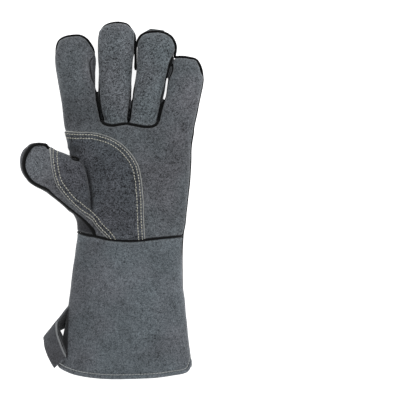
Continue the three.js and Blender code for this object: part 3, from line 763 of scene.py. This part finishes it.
def tube(rows, closed, profile, lift, scale=None, tall=None):
    """A strip with the given section (across, up) swept along surface rows."""
    p, n = rows[:, :3], rows[:, 3:6]
    tangent = unit(np.roll(p, -1, 0) - np.roll(p, 1, 0) if closed else np.gradient(p, axis=0))
    side = unit(np.cross(tangent, n))
    up = np.cross(side, tangent)
    prof = np.asarray(profile)
    m = len(prof)
    scale = np.ones(len(p)) if scale is None else scale
    tall = scale if tall is None else tall
    lift = np.broadcast_to(lift, len(p))
    v = p[:, None] + side[:, None] * (prof[None, :, :1] * scale[:, None, None])
    v = v + up[:, None] * (prof[None, :, 1:] * tall[:, None, None] + lift[:, None, None])
    v = v.reshape(-1, 3)
    rings = len(p)
    i = np.arange(rings if closed else rings - 1)
    tri = []
    for k in range(m):
        a = i * m + k
        b = i * m + (k + 1) % m
        c = ((i + 1) % rings) * m + k
        d = ((i + 1) % rings) * m + (k + 1) % m
        tri += [np.stack([a, b, d], 1), np.stack([a, d, c], 1)]
    if not closed:
        last = (rings - 1) * m
        for k in range(1, m - 1):
            tri += [np.array([[0, k + 1, k]]), np.array([[last, last + k, last + k + 1]])]
    return v, np.vstack(tri)


def joined(parts):
    v, t, n = [], [], 0
    for a, b in parts:
        v.append(a)
        t.append(b + n)
        n += len(a)
    return np.vstack(v), np.vstack(t)


# section of a welt: across, up
BEAD = np.array([(math.cos(a) * 1.25, math.sin(a) * 0.95) for a in np.linspace(0, 2 * math.pi, 11)[:-1]])
WELT_PITCH, WELT_LEAST = 1.5, 8.0


def welts(name, chains, width=1.0, size=None, tip=None):
    """Beads along seams. tip: from where a fingertip's welt stands out, how far, and its size elsewhere."""
    parts = []
    for rows, closed in chains:
        rows = resampled(rows, closed, WELT_PITCH, 1.6)
        if rows is None or len(rows) * WELT_PITCH < WELT_LEAST:
            continue
        scale = size(rows) if size else np.ones(len(rows))
        rise = np.zeros(len(rows))
        if tip:
            near = step((rows[:, 1] - tip[0]) / 8)
            rise, scale = tip[1] * near, scale * (tip[2] + (1 - tip[2]) * near)
        if not closed and name != "cuff_seam_welt":
            from_end = WELT_PITCH * np.minimum(np.arange(len(rows)), np.arange(len(rows))[::-1])
            scale = scale * (0.6 + 0.4 * step(from_end / 3))
        lift = -0.1 - 1.1 * (1 - scale) + 0.72 * rise - 0.1 * (rise > 0)
        parts.append(tube(rows, closed, BEAD * [width, 1], lift, scale, scale * (1 + 0.25 * rise)))
    if parts:
        make_object(name, *joined(parts), material=WELT, slot="welt_leather", nodes=[name], sharp=70)


# rings of a stitch: share along it, share of its radius, height
STITCH = [
    (-1, 0.25, -0.32), (-0.8, 0.85, -0.05), (-0.3, 1, 0.12),
    (0.3, 1, 0.12), (0.8, 0.85, -0.05), (1, 0.25, -0.32),
]
ROUND = 6


def stitches(name, chains, material, pitch, length, radius, lift, wobble=0.12):
    """Small capsules along the chains, with their ends sunk into the leather."""
    angles = np.linspace(0, 2 * math.pi, ROUND + 1)[:-1]
    last = ROUND * (len(STITCH) - 1)
    tri = []
    for ring in range(0, last, ROUND):
        for b in range(ROUND):
            c, d = ring + b, ring + (b + 1) % ROUND
            tri += [(c, d, d + ROUND), (c, d + ROUND, c + ROUND)]
    for b in range(1, ROUND - 1):
        tri += [(0, b + 1, b), (last, last + b, last + b + 1)]
    parts = []
    for rows, closed in chains:
        rows = resampled(rows, closed, pitch, 1.2)
        if rows is None:
            continue
        p, n = rows[:, :3], rows[:, 3:6]
        tangent = unit(np.gradient(p, axis=0))
        side = np.cross(tangent, n)
        for i in range(len(p)):
            jitter = rng.normal(0, wobble, 2)
            centre = p[i] + side[i] * jitter[0]
            aim = tangent[i] + side[i] * jitter[1] * 0.6
            aim /= np.linalg.norm(aim)
            half = length / 2 * (1 + rng.normal(0, 0.06))
            across = np.cross(aim, n[i])
            v = []
            for along, r, height in STITCH:
                c = centre + aim * half * along + n[i] * (lift + height)
                v += [c + radius * r * (math.cos(a) * across + math.sin(a) * n[i]) for a in angles]
            parts.append((np.array(v), np.array(tri)))
    make_object(name, *joined(parts), material=material, sharp=80)


# materials

def linear(r, g, b):
    return tuple(((c / 255 + 0.055) / 1.055) ** 2.4 if c > 10 else c / 3294 for c in (r, g, b)) + (1,)


class Nodes:
    """A new material's node tree, with a Principled shader."""

    def __init__(self, name, **inputs):
        self.material = bpy.data.materials.new(name)
        self.material.use_nodes = True
        self.tree = self.material.node_tree
        self.tree.nodes.clear()
        self.shader = self.add("ShaderNodeBsdfPrincipled", inputs)
        self.add("ShaderNodeOutputMaterial", {"Surface": self.shader.outputs[0]})

    def add(self, kind, inputs=None, **settings):
        node = self.tree.nodes.new(kind)
        for key, value in settings.items():
            setattr(node, key, value)
        self.put(node, inputs or {})
        return node

    def put(self, node, inputs):
        """Links sockets and sets plain values on a node's inputs."""
        for key, value in inputs.items():
            if isinstance(value, bpy.types.NodeSocket):
                self.tree.links.new(value, node.inputs[key])
            else:
                node.inputs[key].default_value = value

    def math(self, operation, a, b):
        return self.add("ShaderNodeMath", {0: a, 1: b}, operation=operation).outputs[0]

    def noise(self, scale, detail=2.0, rough=0.6):
        place = self.add("ShaderNodeTexCoord").outputs["Object"]
        inputs = {"Vector": place, "Scale": scale, "Detail": detail, "Roughness": rough}
        return self.add("ShaderNodeTexNoise", inputs).outputs["Fac"]

    def ramp(self, source, *stops):
        node = self.add("ShaderNodeValToRGB", {0: source})
        for element, (position, colour) in zip(node.color_ramp.elements, stops):
            element.position, element.color = position, colour
        return node.outputs[0]

    def attribute(self, name):
        return self.add("ShaderNodeAttribute", attribute_name=name).outputs["Fac"]

    def bump(self, height, strength, distance):
        inputs = {"Strength": strength, "Distance": distance, "Height": height}
        return self.add("ShaderNodeBump", inputs).outputs[0]


def suede(name, colour, grain=1.0, edge=(150, 152, 154), fibre=1.0, sheen=0.25, rough=0.93, mottle=1.0):
    n = Nodes(name)
    medium, fine, tiny = n.noise(120, 3), n.noise(430, 2, 0.7), n.noise(950, 1, 0.7)
    value = 1.0
    for source, weight in (
        (n.noise(30), 0.6 * mottle), (medium, 0.75 * mottle), (fine, 1.95 * grain), (tiny, 3 * grain),
    ):
        value = n.math("ADD", n.math("MULTIPLY", n.math("SUBTRACT", source, 0.5), weight), value)
    value = n.math("MAXIMUM", n.math("MULTIPLY", value, n.attribute("shade")), 0.08)
    scaled = n.add("ShaderNodeVectorMath", {0: linear(*colour)[:3], "Scale": value}, operation="SCALE")
    warm_and_cool = n.ramp(n.noise(22, 1), (0.35, (1.03, 0.99, 1.0, 1)), (0.65, (0.965, 1.01, 1.01, 1)))
    inputs = {"Factor": 1.0, "A": scaled.outputs[0], "B": warm_and_cool}
    tinted = n.add("ShaderNodeMix", inputs, data_type="RGBA", blend_type="MULTIPLY")
    inputs = {"Factor": n.attribute("edge"), "A": tinted.outputs["Result"], "B": linear(*edge)}
    mixed = n.add("ShaderNodeMix", inputs, data_type="RGBA")
    height = n.math("ADD", n.math("MULTIPLY", fine, 0.7), n.math("MULTIPLY", tiny, 0.4))
    height = n.math("ADD", height, n.math("MULTIPLY", n.noise(260, 3), 0.8))
    n.put(n.shader, {
        "Base Color": mixed.outputs["Result"],
        "Roughness": n.math("ADD", n.math("MULTIPLY", medium, 0.1), rough - 0.05),
        "Sheen Weight": sheen, "Sheen Roughness": 0.5, "Sheen Tint": (0.85, 0.87, 0.9, 1),
        "Specular IOR Level": 0.15, "Normal": n.bump(height, 0.8 * fibre, 0.0007),
    })
    return n.material


def thread(name, colour):
    n = Nodes(name)
    wave = n.noise(900, 2, 0.5)
    n.put(n.shader, {
        "Base Color": n.ramp(wave, (0.3, linear(*[c * 0.72 for c in colour])), (0.7, linear(*colour))),
        "Roughness": n.math("ADD", n.math("MULTIPLY", wave, 0.2), 0.55),
        "Sheen Weight": 0.2, "Normal": n.bump(wave, 0.4, 0.0002),
    })
    return n.material


BACK = suede("back leather", (96, 100, 104))
PALM = suede("palm leather", (90, 93, 97), mottle=0.9)
FRONT = suede("finger front leather", (94, 99, 103), grain=1.3, mottle=1.1)
THUMB_LEATHER = suede("thumb leather", (46, 47, 50))
CUFF = suede("cuff leather", (98, 103, 108), grain=0.8, mottle=0.7)
PATCH_LEATHER = suede("patch leather", (76, 79, 84), grain=1.4, edge=(196, 196, 190), mottle=1.1)
# a darker copy of the suede: painted shade on the side walls in the valleys between the fingers
SIDE = suede("side wall leather", (62, 64, 68))
STRAP_LEATHER = suede("strap leather", (69, 71, 75), grain=0.7, mottle=0.7)
WELT = suede(
    "welt leather", (24, 26, 28), grain=0.6, edge=(40, 42, 44), fibre=0.6, sheen=0.1, rough=0.75, mottle=0.5,
)
THREAD = thread("cream thread", (226, 224, 208))
HEM_THREAD = thread("hem thread", (186, 190, 190))


# seams and regions

v, t, (tx, ty, top_map) = surface_net()
normal, _ = body_normal(v)
v = v + normal * relief(v, normal)[:, None]
v[:, 2] = np.maximum(v[:, 2], 0.0)
whole = {"v": v, "t": t, "x": normal}

PLAN = {
    "hem": inside_distance(HEM + [(235, -60), (-30, -60)]),
    "cuff": inside_distance(CUFF_SEAM + [(215, 460), (40, 460)]),
    "middle": inside_distance(MIDDLE_FRONT, smooth=False),
    "ring": inside_distance(RING_FRONT, smooth=False),
    "patch": inside_distance(PATCH_EDGE),
    "zone": inside_distance(THUMB_ZONE, smooth=False),
    "thumb_front": inside_distance(THUMB_FRONT),
}
for wall, rows in WALL_STRIPS.items():
    PLAN["strip_" + wall] = inside_distance(rows, smooth=False)
SEAM_THUMB, SEAM_LITTLE = by_row(BACK_SEAM, 1, 3), by_row(BACK_SEAM, 2, 3)
BANDS = {w: [by_row(rows, c, 1.6) for c in (1, 2, 3, 4)] for w, rows in WALL_BANDS.items()}
GAPS = {w: (by_row([(y, x) for y, x in rows], 1, 2) - MIDDLE_X) * UNIT for w, rows in GAP_X.items()}
top_grid = look(top_map, GX, GY, tx[0, 0], ty[0, 0], VOXEL)


def at(key):
    return lambda m: look(PLAN[key], m["v"][:, 0], m["v"][:, 1])


def row_value(values, y):
    return np.interp(y, YS, values)


def back_side(m):
    x, y, z = m["v"].T
    share = np.clip((x + 62) / 124, 0, 1)
    return row_value(SEAM_THUMB, y) * (1 - share) + row_value(SEAM_LITTLE, y) * share - z


def wall_value(wall):
    def value(m):
        x, y, z = m["v"].T
        left_high, left_low, right_high, right_low = (row_value(b, y) for b in BANDS[wall])
        right = x > row_value(GAPS[wall], y)
        high, low = np.where(right, right_high, left_high), np.where(right, right_low, left_low)
        strip = look(PLAN["strip_" + wall], x, y)
        return np.minimum(np.minimum(high - z, z - low), strip)
    return value


WALLS = {w: wall_value(w) for w in WALL_STRIPS}


def all_walls(m):
    return np.maximum.reduce([f(m) for f in WALLS.values()])


def eased(f):
    """Seams of the side walls close up towards the fingertips."""
    return lambda m: f(m) + 0.55 + 0.3 * step((m["v"][:, 1] - 294) / 10)


def thumb_side(m):
    x, y, z = m["v"].T
    front = look(PLAN["thumb_front"], x, y)
    crest = look(top_grid, x, y)
    across = (x - THUMB_X) * THUMB_AIM[1] - (y - THUMB_Y) * THUMB_AIM[0]
    least = 19 - 7 * step((across + 6) / 18)
    seam = np.maximum(crest - 2.2 * front, least)
    return np.minimum(seam - z, look(PLAN["zone"], x, y))


cuff_side, middle_side, ring_side = at("cuff"), at("middle"), at("ring")


def lowest(*values):
    return lambda m: np.minimum.reduce([f(m) for f in values])


def outside(f):
    return lambda m: -f(m)


off_back, off_thumb, off_cuff = outside(back_side), outside(thumb_side), outside(cuff_side)
between_walls = eased(outside(all_walls))
REGIONS = {
    "back_panel": lowest(back_side, between_walls),
    "thumb_back": lowest(thumb_side, off_back, off_cuff),
    "cuff_front": lowest(cuff_side, off_back),
    "middle_finger_front": lowest(middle_side, off_back, between_walls),
    "ring_finger_front": lowest(ring_side, off_back, between_walls),
    "palm_panel": lowest(
        off_back, between_walls, off_thumb, off_cuff, outside(middle_side), outside(ring_side)
    ),
}
for wall, f in WALLS.items():
    REGIONS[wall + "_side_wall"] = eased(f)

glove = keep_inside(whole, at("hem"), 0.0)


# painted shade along creases, folds, seams, the side walls' valleys and below the strap's end, and painted
# highlight where the value is negative, beside the thumb's crease; one line darkens a tucked welt end on the
# cuff: how much darker, half width in millimetres, plan line
SHADE_AND_HIGHLIGHT_LINES = [
    (0.45, 0.9, [(103.2, 113), (105, 117.5), (108.5, 121.3)]),
    (0.3, 0.8, [(105.6, 112), (108, 115.6), (111.6, 118.8)]),
    (0.45, 0.9, [(156.6, 112.5), (154.2, 117.3), (150.4, 121)]),
    (0.3, 0.8, [(155.2, 109.5), (152.2, 114), (149, 117.6)]),
    (0.6, 2.0, [(82.5, 162), (86.6, 169), (89.6, 178), (91.4, 188), (92.6, 198), (93.2, 211)]),
    (0.8, 1.4, [(88.6, 174), (90.6, 182), (92, 190), (92.8, 198), (93.6, 212)]),
    (-0.16, 1.6, [(80.5, 163), (84.4, 171), (87, 180), (89, 190), (90.4, 200)]),
    (0.75, 1.2, [(98.6, 87), (98.9, 92), (99, 98), (99.1, 102), (99.8, 107), (101, 112.5)]),
    (0.7, 1.1, [(164, 86), (163.7, 91), (163, 95), (162, 99), (161.2, 104), (159.9, 110), (158.3, 116)]),
    (0.55, 1.8, [(172, 62), (170.8, 67), (169.8, 72), (169, 78)]),
    (0.45, 1.3, [(88.6, 57), (89.4, 64), (91, 70), (92.8, 76), (94.6, 83)]),
    (0.75, 1.3, [(182.6, 238), (182.2, 247), (181.4, 256)]),
    (0.8, 1.5, [(57, 367.5), (62, 363.4), (67.5, 358.4)]),
    (0.2, 1.6, [(92, 163.5), (99, 159.5), (107, 156.4)]),
    (-0.14, 1.4, [(90.8, 160), (98, 156.2), (105.5, 153)]),
    (0.3, 2.0, [(80, 241.5), (84, 243), (89, 244)]),
]
# lighter and darker patches, partly the suede's uneven tone and partly painted shade and light, such as the
# darker edges of the cuff and the hand and the crook of the thumb: how much lighter, middle and radii in plan
# units
ZONES = [
    (-0.36, 79, 113, 24, 17), (0.3, 92.5, 64, 5, 15), (0.3, 40, 168, 17, 24), (0.1, 187, 92, 18, 36),
    (-0.55, 75.8, 149.5, 5.5, 5), (-0.25, 75, 152, 8, 12),
    (-0.12, 100, 160, 12, 30), (-0.1, 178, 160, 20, 30),
    (0.08, 135, 300, 40, 50), (0.2, 125, 46, 7, 12), (0.1, 125, 85, 8, 25), (-0.12, 105, 92, 5, 22),
    (0.12, 166, 82, 4, 30), (-0.08, 151, 78, 7, 14), (-0.12, 144, 109, 6, 10), (0.14, 77, 72, 9, 30),
    (-0.12, 63, 108, 5, 24), (-0.12, 108, 330, 26, 34), (-0.14, 96, 249, 22, 7), (0.1, 155, 290, 15, 24),
    (-0.2, 71, 285, 6, 42), (-0.16, 190, 325, 7, 42), (-0.15, 187, 218, 6, 24), (0.08, 150, 205, 14, 44),
    (0.12, 46, 187, 9, 6), (0.07, 172, 245, 14, 6), (-0.08, 125, 318, 14, 12),
]
SHADE_AND_HIGHLIGHT_MAP = np.ones_like(GX)
for depth, width, rows in SHADE_AND_HIGHLIGHT_LINES:
    d, share = line_distance(rows)
    SHADE_AND_HIGHLIGHT_MAP *= 1 - depth * np.exp(-((d / width) ** 2)) * step(np.minimum(share, 1 - share) / 0.2 + 0.2)


def shade_of(p):
    """Brightness of the leather in places: noise for the suede's uneven tone, lighter and darker patches,
    painted shade on the cuff's left side and on its flank under the strap, and the painted shade and
    highlight lines.
    """
    x, y = in_plan(p)
    s = 1 + 0.09 * noise(p, 38, 11) + 0.08 * noise(p, 15, 12) + 0.04 * noise(p, 6, 13)
    # painted shade: the cuff's left side is darker, as if the light fell from the right
    s *= 1 - 0.2 * step((106 - x) / 26) * step((y - 228) / 30)
    for more, cx, cy, rx, ry in ZONES:
        s *= 1 + more * np.exp(-(((x - cx) / rx) ** 2 + ((y - cy) / ry) ** 2))
    # painted shadow of the strap on the cuff's flank
    s *= 1 - 0.88 * step((70.4 - x) / 1.5) * step((y - 304) / 4) * step((357.5 - y) / 3)
    return s * (1 + (look(SHADE_AND_HIGHLIGHT_MAP, p[:, 0], p[:, 1]) - 1) * step((p[:, 2] - 6) / 6))


def panel(name, material, slot):
    value, hem_of = REGIONS[name], at("hem")
    m = keep_inside(glove, value, CLEARANCE)
    lines = [(value, CLEARANCE + 0.7), (value, CLEARANCE + 1.7)]
    if name in ("cuff_front", "back_panel"):
        lines += [(hem_of, 0.9), (hem_of, 3.6), (hem_of, 4.6)]
    for f, level in lines:
        m, _ = cut(m, f(m), level)
    inset, hem = value(m) - CLEARANCE, hem_of(m)
    v, n = m["v"], unit(m["x"])
    sink = (1 - np.clip(inset / 2.0, 0, 1)) ** 2
    roll = 1.3 * np.clip(1 - hem / 2.2, 0, 1) ** 2
    furrow = 0.75 * np.exp(-(((hem - HEM_STITCHES) / 0.8) ** 2))
    swell = 0.45 * np.exp(-(((hem - 2.3) / 1.5) ** 2))
    outer = v + n * ((swell - sink - roll - furrow) * (0.35 + 0.65 * step(v[:, 2] / 3)))[:, None]
    outer[:, 2] = np.maximum(outer[:, 2], 0)
    # the hem is folded over and is twice as thick
    inner = v - n * (LEATHER + LEATHER * step(9.5 - hem) - roll)[:, None]
    # painted shade where the leather dips into its seam
    shade = shade_of(v) * (1 - 0.35 * np.clip(1 - inset / 0.8, 0, 1))
    # painted shade in the furrow of the hem stitches, and a lighter hem band below it
    shade *= 1 - 0.24 * np.exp(-(((hem - 4.4) / 0.9) ** 2)) + 0.2 * step((3.8 - hem) / 0.8)
    if name == "thumb_back":
        x, y = in_plan(v)
        shade *= 1 + 1.1 * step((56 - x) / 18) * step((180 - y) / 10)
    # painted highlight along the panel's edge beside its seam, carried in the edge look
    light = np.exp(-(((inset - 1.3) / 0.55) ** 2)) * 0.2
    looks = {"shade": (shade, shade * 0.75), "edge": (light, np.zeros(len(v)))}
    make_object(name, *thickened(outer, inner, m["t"], looks), material=material, slot=slot, nodes=[name])


for name, material, slot in (
    ("back_panel", BACK, "back_leather"),
    ("palm_panel", PALM, "palm_leather"),
    ("middle_finger_front", FRONT, "front_leather"),
    ("ring_finger_front", FRONT, "front_leather"),
    ("thumb_back", THUMB_LEATHER, "thumb_leather"),
    ("cuff_front", CUFF, "cuff_leather"),
):
    panel(name, material, slot)
for wall in WALLS:
    panel(wall + "_side_wall", SIDE, "side_leather")

# welts
off_walls = keep_inside(glove, outside(all_walls), 0.0)
named = {row[-1]: [] for row in TIPS}
for rows, closed in iso_chains(off_walls, back_side(off_walls)):
    if len(rows) <= 12:
        continue
    x = rows[:, 0].mean()
    along_hand = rows[:, 1].min() < 200
    if x < (0 if along_hand else -30):
        key = "thumb_side_welt"
    elif along_hand or x >= 46:
        key = "little_side_welt"
    else:
        key = "middle_tip_welt" if x < 10 else "ring_tip_welt"
    named[key].append((rows, closed))
for outline, inset_from, proud, far, key in TIPS:
    welts(key, named[key], tip=(plan_y(min(p[1] for p in outline)) - inset_from, proud, far))


def wall_size(rows):
    """Side wall welts stand out near the finger roots and are thin further out."""
    size = 0.26 + (0.32 - 0.12 * (rows[:, 0] > -10)) * step((294 - rows[:, 1]) / 8)
    little = (rows[:, 0] > row_value(GAPS["ring_little"], rows[:, 1])) * step((rows[:, 1] - 288) / 6)
    return np.maximum(size, 0.6 * little)


def cuff_seam_size(rows):
    x, _ = in_plan(rows)
    return 0.88 - 0.1 * step((99 - x) / 6) - 0.12 * step((x - 152) / 12)


def thumb_welt_size(rows):
    x, _ = in_plan(rows)
    return 1 + 0.3 * step((56 - x) / 14)


for wall, f in WALLS.items():
    welts(wall + "_welt", iso_chains(glove, f(glove)), size=wall_size)
front = keep_inside(off_walls, outside(back_side), 0.0)
welts("cuff_seam_welt", iso_chains(front, cuff_side(front)), size=cuff_seam_size)
hand_front = keep_inside(front, outside(cuff_side), 0.0)
welts("thumb_welt", iso_chains(hand_front, thumb_side(hand_front)), width=1.6, size=thumb_welt_size)
finger_fronts = np.maximum(middle_side(hand_front), ring_side(hand_front))
welts("finger_base_welt", iso_chains(hand_front, finger_fronts))


def palm_patch():
    """The patch over the palm and the thumb, with its two rows of stitches."""
    patch_edge, patch_seams = at("patch"), lowest(off_back, off_thumb, off_cuff)
    m = keep_inside(glove, lambda m: np.minimum(patch_edge(m), patch_seams(m) - CLEARANCE), 0.0)
    m, _ = cut(m, patch_edge(m), 0.7)
    m, _ = cut(m, patch_seams(m), 1.7)
    v, n, raw = m["v"], unit(m["x"]), patch_edge(m)
    height = PATCH * (0.35 + 0.65 * np.clip(raw / 0.7, 0, 1))
    height = height * (0.25 + 0.75 * step((patch_seams(m) - CLEARANCE) / 1.6))
    furrow = 0.3 * sum(np.exp(-(((raw - depth) / 0.7) ** 2)) for depth in PATCH_STITCHES)
    outer = v + n * (height - furrow + 0.12 * noise(v, 7, 21))[:, None]
    # painted highlight along the patch's raw edge
    light = np.clip(1.25 - raw / 0.7, 0, 1)
    shade = shade_of(v) * (1 - 0.12 * np.exp(-(((raw - 5) / 2.4) ** 2)))
    looks = {"shade": (shade, shade), "edge": (light, light)}
    make_object(
        "palm_patch", *thickened(outer, v + n * 0.12, m["t"], looks),
        material=PATCH_LEATHER, slot="patch_leather", nodes=["palm_patch"],
    )
    top = {"v": outer, "t": m["t"], "x": n}
    rows = [r for depth in PATCH_STITCHES for r in iso_chains(top, raw - depth) if len(r[0]) > 20]
    stitches("patch_stitches", rows, THREAD, 2.9, 2.3, 0.41, 0.08)


palm_patch()
rows = [r for r in iso_chains(glove, at("hem")(glove) - HEM_STITCHES) if len(r[0]) > 20]
stitches("hem_stitches", rows, HEM_THREAD, 3.0, 2.9, 0.44, -0.45, wobble=0.05)


def strip(grid, half, shade, edge):
    """Closed leather strip through a grid of points; shade and edge are given by column."""
    n = unit(np.cross(np.gradient(grid, axis=0), np.gradient(grid, axis=1)))
    rows, columns = grid.shape[:2]
    grid = grid + 0.25 * noise(grid.reshape(-1, 3), 8, 31).reshape(rows, columns, 1) * n
    a = (np.arange(rows - 1)[:, None] * columns + np.arange(columns - 1)[None]).ravel()
    b, c, d = a + columns, a + columns + 1, a + 1
    tri = np.vstack([np.stack([a, b, c], 1), np.stack([a, c, d], 1)])
    half = np.asarray(half)[None, :, None]
    outer, inner = (grid + n * half).reshape(-1, 3), (grid - n * half).reshape(-1, 3)
    shade, edge = (np.broadcast_to(a, (rows, columns)).ravel() for a in (shade, edge))
    return thickened(outer, inner, tri, {"shade": (shade, shade), "edge": (edge, edge)})


def hang_loop():
    """The strap's outer layer, with painted shadow on its upper arm and painted highlight along its raw
    edges, and the inner layer that shows beside the eye, shaded nearly black as painted shade.
    """
    rows = np.array(STRAP)
    inner_line = curve(np.hstack([plan(rows[:, :2]), rows[:, 2:3]]), False, 6)
    outer_line = curve(np.hstack([plan(rows[:, 3:5]), rows[:, 5:6]]), False, 6)
    shares = np.array([0, 0.05, 0.15, 0.3, 0.5, 0.7, 0.85, 0.95, 1.0])[None, :, None]
    grid = inner_line[:, None] * (1 - shares) + outer_line[:, None] * shares
    row = np.arange(len(grid))[:, None]
    # painted shadow: the upper arm's face, turned away from the light, is made nearly black
    shade = 1 - 0.82 * step((21 - row) / 4) * step(shares[:, :, 0] / 0.1)
    # painted highlight along the strap's raw edges
    edge = (0.25 + 0.75 * step((row - 15) / 4)) * [0.85, 0, 0, 0, 0, 0, 0, 0, 0.5]
    v1, t1, a1 = strip(grid, [0.8, 1.1, 1.15, 1.15, 1.15, 1.15, 1.15, 1.1, 0.8], shade, edge)
    rows = np.array(STRAP_BACK, float).reshape(-1, 4, 3)
    rows[..., :2] = plan(rows[..., :2].reshape(-1, 2)).reshape(-1, 4, 2)
    grid = curve(rows.reshape(-1, 12), False, 5).reshape(-1, 4, 3)
    # the inner layer is shaded nearly black as painted shade, with a painted highlight along its raw edge
    v2, t2, a2 = strip(grid, [0.6, 0.7, 0.7, 0.5], np.array([[0.3, 0.5, 0.16, 0.16]]), [0, 0.3, 0, 0])
    looks = {k: np.concatenate([a1[k], a2[k]]) for k in a1}
    make_object(
        "hang_loop", *joined([(v1, t1), (v2, t2)]), looks,
        material=STRAP_LEATHER, slot="strap_leather", nodes=["hang_loop"], sharp=35,
    )


def thumb_crook_welt():
    """The turned end of a welt in the crook of the thumb."""
    a = np.linspace(0, 2 * math.pi, 40)[:-1]
    lx, ly = 4.2 * np.cos(a), 1.4 * np.sin(a)
    ring = plan(np.stack([76.6 + lx * 0.94 - ly * 0.34, 159.2 + lx * 0.34 + ly * 0.94], 1))
    height = look(top_grid, ring[:, 0], ring[:, 1])
    height = 0.7 * height + 0.3 * height.max() + 4.2
    ring = np.hstack([ring, height[:, None], np.tile([0.0, 0.0, 1.0], (len(ring), 1))])
    make_object("thumb_crook_welt", *tube(ring, True, BEAD * 0.8, 0.2), material=WELT, sharp=70)


hang_loop()
thumb_crook_welt()


# floor, lights, camera

def floor_sheet(half=6.0, z=-0.0004):
    mesh = bpy.data.meshes.new("floor")
    corners = [(-half, -half, z), (half, -half, z), (half, half, z), (-half, half, z)]
    mesh.from_pydata(corners, [], [(0, 1, 2, 3)])
    pale = Nodes("floor", **{
        "Base Color": (0.93, 0.93, 0.93, 1), "Roughness": 0.9,
        "Emission Color": (1, 1, 1, 1), "Emission Strength": 0.85,
    })
    mesh.materials.append(pale.material)
    o = bpy.data.objects.new("floor", mesh)
    bpy.context.scene.collection.objects.link(o)


def light(name, place, size, power):
    """A round area light that looks at the origin."""
    data = bpy.data.lights.new(name, "AREA")
    data.shape, data.size, data.energy = "DISK", size, power
    o = bpy.data.objects.new(name, data)
    o.location = place
    o.rotation_mode = "QUATERNION"
    o.rotation_quaternion = (-Vector(place)).to_track_quat("-Z", "Y")
    bpy.context.scene.collection.objects.link(o)


floor_sheet()
light("key", (0.9, 1.1, 1.9), 1.3, 17)
light("fill", (-1.4, -0.6, 1.6), 1.6, 5.2)
world = bpy.data.worlds.new("studio")
world.use_nodes = True
world.node_tree.nodes["Background"].inputs[0].default_value = (1, 1, 1, 1)
world.node_tree.nodes["Background"].inputs[1].default_value = 0.55
bpy.context.scene.world = world

camera = bpy.data.cameras.new("camera")
camera.lens, camera.sensor_width = 100, 36
camera.clip_start, camera.clip_end = 0.05, 20
eye = bpy.data.objects.new("camera", camera)
eye.location = (0.0886, -0.0004, 1.1217)
bpy.context.scene.collection.objects.link(eye)
bpy.context.scene.camera = eye
bpy.context.scene.view_settings.view_transform = "Standard"
